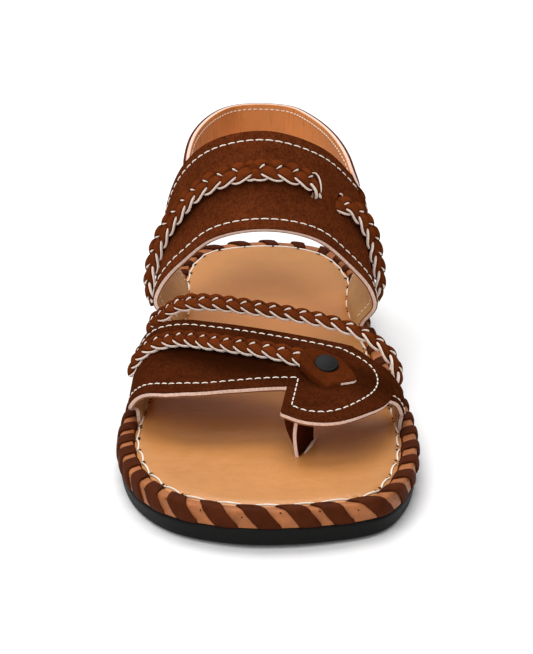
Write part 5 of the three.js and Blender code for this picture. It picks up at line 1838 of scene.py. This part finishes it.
def make_middle_plait():
    def ease(share):
        """The plait is drawn in at its ends and spreads towards the medial side."""
        ends = smoothstep(share, -0.04, 0.1) * smoothstep(1 - share, -0.04, 0.1)
        return ends * (1 + 0.25 * smoothstep(share, 0.4, 0.8))

    return make_plait("middle_plait", "middle_braid", middle_plait_path(), MIDDLE_LOBES, ease, size=0.9)


def make_instep_plait():
    path = path_on_strap(
        INSTEP_STRAP, INSTEP_PLAIT_ROWS, low=40.0, high=72.0, to_front=0.25, to_top=0.6)
    return make_plait(
        "instep_plait", "instep_braid", path, INSTEP_LOBES,
        lambda share: 1 - 0.35 * np.exp(-((share - 0.68) / 0.07) ** 2), weave=-1, flip=0.43, size=1.1)


# Toe post, tab and rivet.
POST_STEPS, POST_LEVELS = 20, 26
POST_BULGE = 4.8  # of the fold to the lateral side
POST_BULGES = (-0.1, 0.9)  # levels between which the fold comes out
POST_HELD = (0.0, 0.3)  # and between which the slot lets it go
POST_BELLY = (0.0, 0.18)  # shares from the front between which it is full
POST_THINS = (0.35, 1.0)  # and between which it thins to the rear
POST_THINNING = 0.7
POST_BOW = 1.1
POST_FLARE = 1.0  # at the lobe, to the medial side
POST_FLARES = (0.85, 1.0)  # levels between which it does
POST_SINK = 1.0  # foot below the insole's surface
POST_CLEAR = 0.05  # under the lobe
POST_SHARP = 35  # degrees
SLOT_LIP = 0.6  # radius of the slot's lip
SLOT_LIP_RISE = 0.3
SLOT_LIP_POINTS = 40
SLOT_LIP_REACH = (0.22, 1.04)  # in lengths of the post, from its front
SLOT_LIP_ROUND = (0.02, 0.98)  # part of a half turn, whose sine gives its radius


def front_height(flat):
    u, v = FRONT_STRAP.locate(np.atleast_2d(flat))
    return FRONT_STRAP(u, v)[:, 2]


def post_line():
    """The toe post's front end in plan, its length, and the ways along it and to the lateral side."""
    front, rear = plan(POST_FRONT) - CENTRE, plan(POST_REAR) - CENTRE
    length = np.linalg.norm(rear - front)
    run = (rear - front) / length
    return front, length, run, np.array([-run[1], run[0]])


def make_toe_post():
    """A folded strap end in the insole's slot: flat on the medial side, bulging on the lateral."""
    front, length, run, lateral = post_line()
    under = sizes_in_mm().strap_wall / 2 + POST_CLEAR
    share = np.linspace(0, 1, POST_STEPS)
    belly = smoothstep(share, *POST_BELLY) * (1 - POST_THINNING * smoothstep(share, *POST_THINS))
    reach = np.append(share, share[::-1]) * length
    rings = []
    for level in np.linspace(0, 1, POST_LEVELS):
        bulge = POST_BULGE * smoothstep(level, *POST_BULGES) * smoothstep(level, *POST_HELD)
        bow = POST_BOW * math.sin(math.pi * level) * (1 - share)
        medial = -POST_HALF - POST_FLARE * smoothstep(level, *POST_FLARES) + bow
        outer = POST_HALF + bulge * belly + bow
        side = np.append(medial, outer[::-1])
        flat = front + reach[:, None] * run + side[:, None] * lateral
        bed = insole_surface(flat[:, 0], flat[:, 1]) - POST_SINK
        rings.append(np.column_stack([flat, bed + (front_height(flat) - under - bed) * level]))
    sides = 2 * POST_STEPS
    faces = ring_faces(POST_LEVELS, sides, closed_run=False)
    pale = [face[0] % sides in (POST_STEPS - 1, sides - 1) for face in faces]
    faces += [tuple(range(sides))[::-1], tuple(range((POST_LEVELS - 1) * sides, POST_LEVELS * sides))]
    mesh = make_mesh(
        "toe_post_fold", np.vstack(rings), faces, ["front_suede", "raw_edge"], pale + [False, False],
        sharp=POST_SHARP)
    return add_piece(mesh, ["toe_post"])


def make_slot_lip():
    """The pale rim of the slot beside the toe post."""
    front, length, run, lateral = post_line()
    share = np.linspace(*SLOT_LIP_REACH, SLOT_LIP_POINTS)
    swell = np.sqrt(np.sin(np.linspace(*SLOT_LIP_ROUND, SLOT_LIP_POINTS) * math.pi))
    flat = front + share[:, None] * length * run - (POST_HALF + SLOT_LIP) * lateral
    line = np.column_stack([flat, insole_surface(flat[:, 0], flat[:, 1]) + SLOT_LIP_RISE])
    points, faces = tube(line, np.append(-lateral, 0), np.array([0.0, 0.0, 1.0]), swell * SLOT_LIP)
    # The lip gets the paler edge colour, which is painted light on a rim in shade.
    return add_piece(make_mesh("slot_lip", points, faces, ["strip_edge"]))


# The tab's outline on the lobe, in millimetres from the rivet: to the medial side and to the heel.
TAB_OUTLINE = [
    (-9.2, 0.3), (-8.4, 5.9), (-3.8, 9.3), (3.6, 7.0), (8.2, 0.3), (10.4, -5.3),
    (9.6, -7.3), (3.6, -10.4), (-0.1, -12.6), (-4.5, -8.2), (-8.6, -2.0)]
TAB_POINTS = 120

# Rings over the tab: share of its outline, and height over its top.
TAB_RINGS = [
    (1.0, -3.0), (1.0, -0.6), (0.975, -0.2), (0.93, 0.0), (0.75, 0.12), (0.5, 0.05), (0.25, 0.0)]
TAB_FOOT = 0.02  # lowest height over the lobe
TAB_THICKNESS = 1.5
TAB_SLOPE = 0.12  # rise to the heel, from TAB_SLOPE_FROM on
TAB_SLOPE_FROM = -4
TAB_CLIMB = 2.2  # rise to the lateral side, over the plait's end
TAB_CLIMBS = (-2, 9)  # between these places lateral of the rivet
TAB_PALE = (5.5, -6)  # the raw edge shows medial of this place and nearer the toe
RIVET_UP = (0.1, -0.41, 0.9)
RIVET_SIDES = 48
RIVET_SHARP = 60  # degrees

# Radius and height of the rivet's head.
RIVET_PROFILE = [
    (4.15, -0.9), (4.3, 0.2), (4.28, 0.8), (4.1, 1.12), (3.8, 1.26), (3.5, 1.2), (3.2, 1.26),
    (1.6, 1.42), (0.3, 1.48)]


def tab_top(medial, heelward):
    """Height of the tab over the lobe: it climbs over the end of the plait."""
    slope = TAB_SLOPE * np.maximum(heelward - TAB_SLOPE_FROM, 0)
    return TAB_THICKNESS + slope + TAB_CLIMB * smoothstep(-medial, *TAB_CLIMBS)


def on_lobe(medial, heelward, height):
    """Points over the lobe, from the rivet's place."""
    flat = plan(RIVET_PLACE) - CENTRE + np.column_stack([medial, heelward])
    wall = sizes_in_mm().strap_wall
    return np.column_stack([flat, front_height(flat) + wall / 2 + height])


def make_tab():
    outline = curve_through(TAB_OUTLINE, closed=True)(np.linspace(0, 1, TAB_POINTS, endpoint=False))
    rings = []
    for shrink, rise in TAB_RINGS:
        medial, heelward = outline.T * shrink
        rings.append(on_lobe(medial, heelward, np.maximum(tab_top(medial, heelward) + rise, TAB_FOOT)))
    zero = np.zeros(1)
    rings += [on_lobe(zero, zero, tab_top(zero, zero)), on_lobe(zero, zero, zero)]
    points = np.vstack(rings)
    top, under = len(points) - 2, len(points) - 1
    faces = ring_faces(len(TAB_RINGS), TAB_POINTS, closed_run=False)
    medial, heelward = outline.T
    at_tip = (medial > TAB_PALE[0]) & (heelward < TAB_PALE[1])
    pale = [face[0] < TAB_POINTS and at_tip[face[0]] for face in faces]
    last = (len(TAB_RINGS) - 1) * TAB_POINTS
    for i in range(TAB_POINTS):
        after = (i + 1) % TAB_POINTS
        faces += [(last + i, top, last + after), (after, under, i)]
        pale += [False, False]
    # Its suede is made darker as painted shade.
    mesh = make_mesh("tab_leather", points, faces, ["tab_suede", "raw_edge"], pale)
    return add_piece(mesh, ["braid_tab"])


def make_rivet():
    zero = np.zeros(1)
    foot = on_lobe(zero, zero, tab_top(zero, zero))[0]
    up = unit(np.array(RIVET_UP))
    medial = unit(np.array([1.0, 0.0, -up[0] / up[2]]))
    heelward = np.cross(up, medial)
    angles = np.arange(RIVET_SIDES) / RIVET_SIDES * 2 * math.pi
    around = np.cos(angles)[:, None] * medial + np.sin(angles)[:, None] * heelward
    points = np.vstack([foot + around * radius + up * height for radius, height in RIVET_PROFILE])
    faces = ring_faces(len(RIVET_PROFILE), RIVET_SIDES, closed_run=False)
    faces += [tuple(range(RIVET_SIDES)), tuple(range(len(points) - RIVET_SIDES, len(points)))[::-1]]
    mesh = make_mesh("rivet_button", points, faces, ["rivet_enamel"], sharp=RIVET_SHARP)
    return add_piece(mesh, ["rivet"])


# The stage, in metres.
CAMERA_TARGET = (-0.00052, 0.03883, 0.016)
SENSOR_WIDTH = 36.0  # millimetres
CLIP_END = 20.0
FLOOR_HALF = 6.0
FLOOR_WHITE = 0.93
FLOOR_GLOW = 0.05
LIGHT_TARGET = (0.0, 0.0, 0.03)
KEY_PLACE, KEY_SIZE = (-0.4, -1.15, 1.2), 1.5
BACK_PLACE, BACK_SIZE = (-0.15, 0.45, 1.35), 1.2


def make_camera(stage):
    lens = bpy.data.cameras.new("camera")
    lens.lens = stage.lens
    lens.sensor_width = SENSOR_WIDTH
    lens.clip_end = CLIP_END
    camera = bpy.data.objects.new("camera", lens)
    x, y, z = CAMERA_TARGET
    back, up = stage.distance * math.cos(stage.elevation), stage.distance * math.sin(stage.elevation)
    camera.location = (x, y - back, z + up)
    camera.rotation_euler = (math.pi / 2 - stage.elevation, 0, 0)
    bpy.context.scene.collection.objects.link(camera)
    bpy.context.scene.camera = camera


def make_floor():
    mesh = bpy.data.meshes.new("floor")
    corners = [(-1, -1), (1, -1), (1, 1), (-1, 1)]
    mesh.from_pydata([(x * FLOOR_HALF, y * FLOOR_HALF, 0) for x, y in corners], [], [(0, 1, 2, 3)])
    white = Shader("studio_floor", roughness=0.9, specular=0.1)
    white.put((FLOOR_WHITE, FLOOR_WHITE, FLOOR_WHITE, 1), white.surface["Base Color"])
    white.put((1, 1, 1, 1), white.surface["Emission Color"])
    white.put(FLOOR_GLOW, white.surface["Emission Strength"])
    mesh.materials.append(white.material)
    floor = bpy.data.objects.new("floor", mesh)
    bpy.context.scene.collection.objects.link(floor)


def make_light(name, place, power, size):
    light = bpy.data.lights.new(name, "AREA")
    light.energy = power
    light.size = size
    lamp = bpy.data.objects.new(name, light)
    lamp.location = place
    aim = Vector(LIGHT_TARGET) - Vector(place)
    lamp.rotation_euler = aim.to_track_quat("-Z", "Y").to_euler()
    bpy.context.scene.collection.objects.link(lamp)


def make_stage():
    scene = bpy.context.scene
    stage = scene.sandal_stage
    scene.view_settings.view_transform = "Standard"
    make_camera(stage)
    make_floor()
    scene.world = bpy.data.worlds.new("studio")
    scene.world.use_nodes = True
    background = scene.world.node_tree.nodes["Background"]
    background.inputs["Color"].default_value = (1, 1, 1, 1)
    background.inputs["Strength"].default_value = stage.surround
    make_light("key_light", KEY_PLACE, stage.key_power, KEY_SIZE)
    make_light("back_light", BACK_PLACE, stage.back_power, BACK_SIZE)


# Operators, one for each piece or group of like pieces.
class SANDAL_OT_stage(bpy.types.Operator):
    """Set up the camera, the floor and the studio light"""

    bl_idname = "sandal.stage"
    bl_label = "Stage"

    def execute(self, context):
        make_stage()
        return {"FINISHED"}


class SANDAL_OT_sole(bpy.types.Operator):
    """Make the rubber outsole and the padded insole"""

    bl_idname = "sandal.sole"
    bl_label = "Sole"

    def execute(self, context):
        make_outsole()
        make_insole()
        return {"FINISHED"}


class SANDAL_OT_edge(bpy.types.Operator):
    """Make the rand, its pinholes and the lace whipped round it"""

    bl_idname = "sandal.edge"
    bl_label = "Laced edge"

    def execute(self, context):
        make_rand()
        make_pinholes()
        make_lacing()
        return {"FINISHED"}


class SANDAL_OT_front_strap(bpy.types.Operator):
    """Make the front strap with its lobe and the short strap under it"""

    bl_idname = "sandal.front_strap"
    bl_label = "Front strap"

    def execute(self, context):
        make_front_strap()
        make_under_strap()
        return {"FINISHED"}


class SANDAL_OT_instep_strap(bpy.types.Operator):
    """Make the instep strap and the heel strap"""

    bl_idname = "sandal.instep_strap"
    bl_label = "Instep and heel straps"

    def execute(self, context):
        make_instep_strap()
        make_slit_lips()
        make_heel_strap()
        return {"FINISHED"}


class SANDAL_OT_toe_post(bpy.types.Operator):
    """Make the toe post between the big toe and the second toe"""

    bl_idname = "sandal.toe_post"
    bl_label = "Toe post"

    def execute(self, context):
        make_toe_post()
        make_slot_lip()
        return {"FINISHED"}


class SANDAL_OT_plaits(bpy.types.Operator):
    """Make the three plaits"""

    bl_idname = "sandal.plaits"
    bl_label = "Plaits"

    def execute(self, context):
        make_front_plait()
        make_middle_plait()
        make_instep_plait()
        return {"FINISHED"}


class SANDAL_OT_tab(bpy.types.Operator):
    """Make the tab over the front plait's end and its rivet"""

    bl_idname = "sandal.tab"
    bl_label = "Tab and rivet"

    def execute(self, context):
        make_tab()
        make_rivet()
        return {"FINISHED"}


class SANDAL_OT_stitching(bpy.types.Operator):
    """Sew the straps and the insole's edge"""

    bl_idname = "sandal.stitching"
    bl_label = "Stitching"

    def execute(self, context):
        make_sole_stitching()
        make_instep_stitching()
        make_front_stitching()
        return {"FINISHED"}


OPERATORS = (
    SANDAL_OT_stage, SANDAL_OT_sole, SANDAL_OT_edge, SANDAL_OT_front_strap, SANDAL_OT_instep_strap,
    SANDAL_OT_toe_post, SANDAL_OT_plaits, SANDAL_OT_tab, SANDAL_OT_stitching)
SETTINGS = {"sandal_sizes": SandalSizes, "sandal_colours": SandalColours, "sandal_stage": StageSettings}


class SANDAL_PT_panel(bpy.types.Panel):
    """Lists the sandal's pieces and settings"""

    bl_label = "Plaited Strap Sandal"
    bl_idname = "SANDAL_PT_panel"
    bl_space_type = "VIEW_3D"
    bl_region_type = "UI"
    bl_category = "Sandal"

    def draw(self, context):
        for operator in OPERATORS:
            self.layout.operator(operator.bl_idname)
        for name in SETTINGS:
            group = getattr(context.scene, name)
            for key in group.bl_rna.properties.keys():
                if key not in ("rna_type", "name"):
                    self.layout.prop(group, key)


def register():
    for group in SETTINGS.values():
        bpy.utils.register_class(group)
    for name, group in SETTINGS.items():
        setattr(bpy.types.Scene, name, bpy.props.PointerProperty(type=group))
    for entry in (*OPERATORS, SANDAL_PT_panel):
        bpy.utils.register_class(entry)


def unregister():
    for entry in reversed((*OPERATORS, SANDAL_PT_panel)):
        bpy.utils.unregister_class(entry)
    for name, group in SETTINGS.items():
        delattr(bpy.types.Scene, name)
        bpy.utils.unregister_class(group)


def main():
    register()
    bpy.ops.sandal.stage()
    bpy.ops.sandal.sole()
    bpy.ops.sandal.edge()
    bpy.ops.sandal.front_strap()
    bpy.ops.sandal.instep_strap()
    bpy.ops.sandal.toe_post()
    bpy.ops.sandal.plaits()
    bpy.ops.sandal.tab()
    bpy.ops.sandal.stitching()


if __name__ == "__main__":
    main()
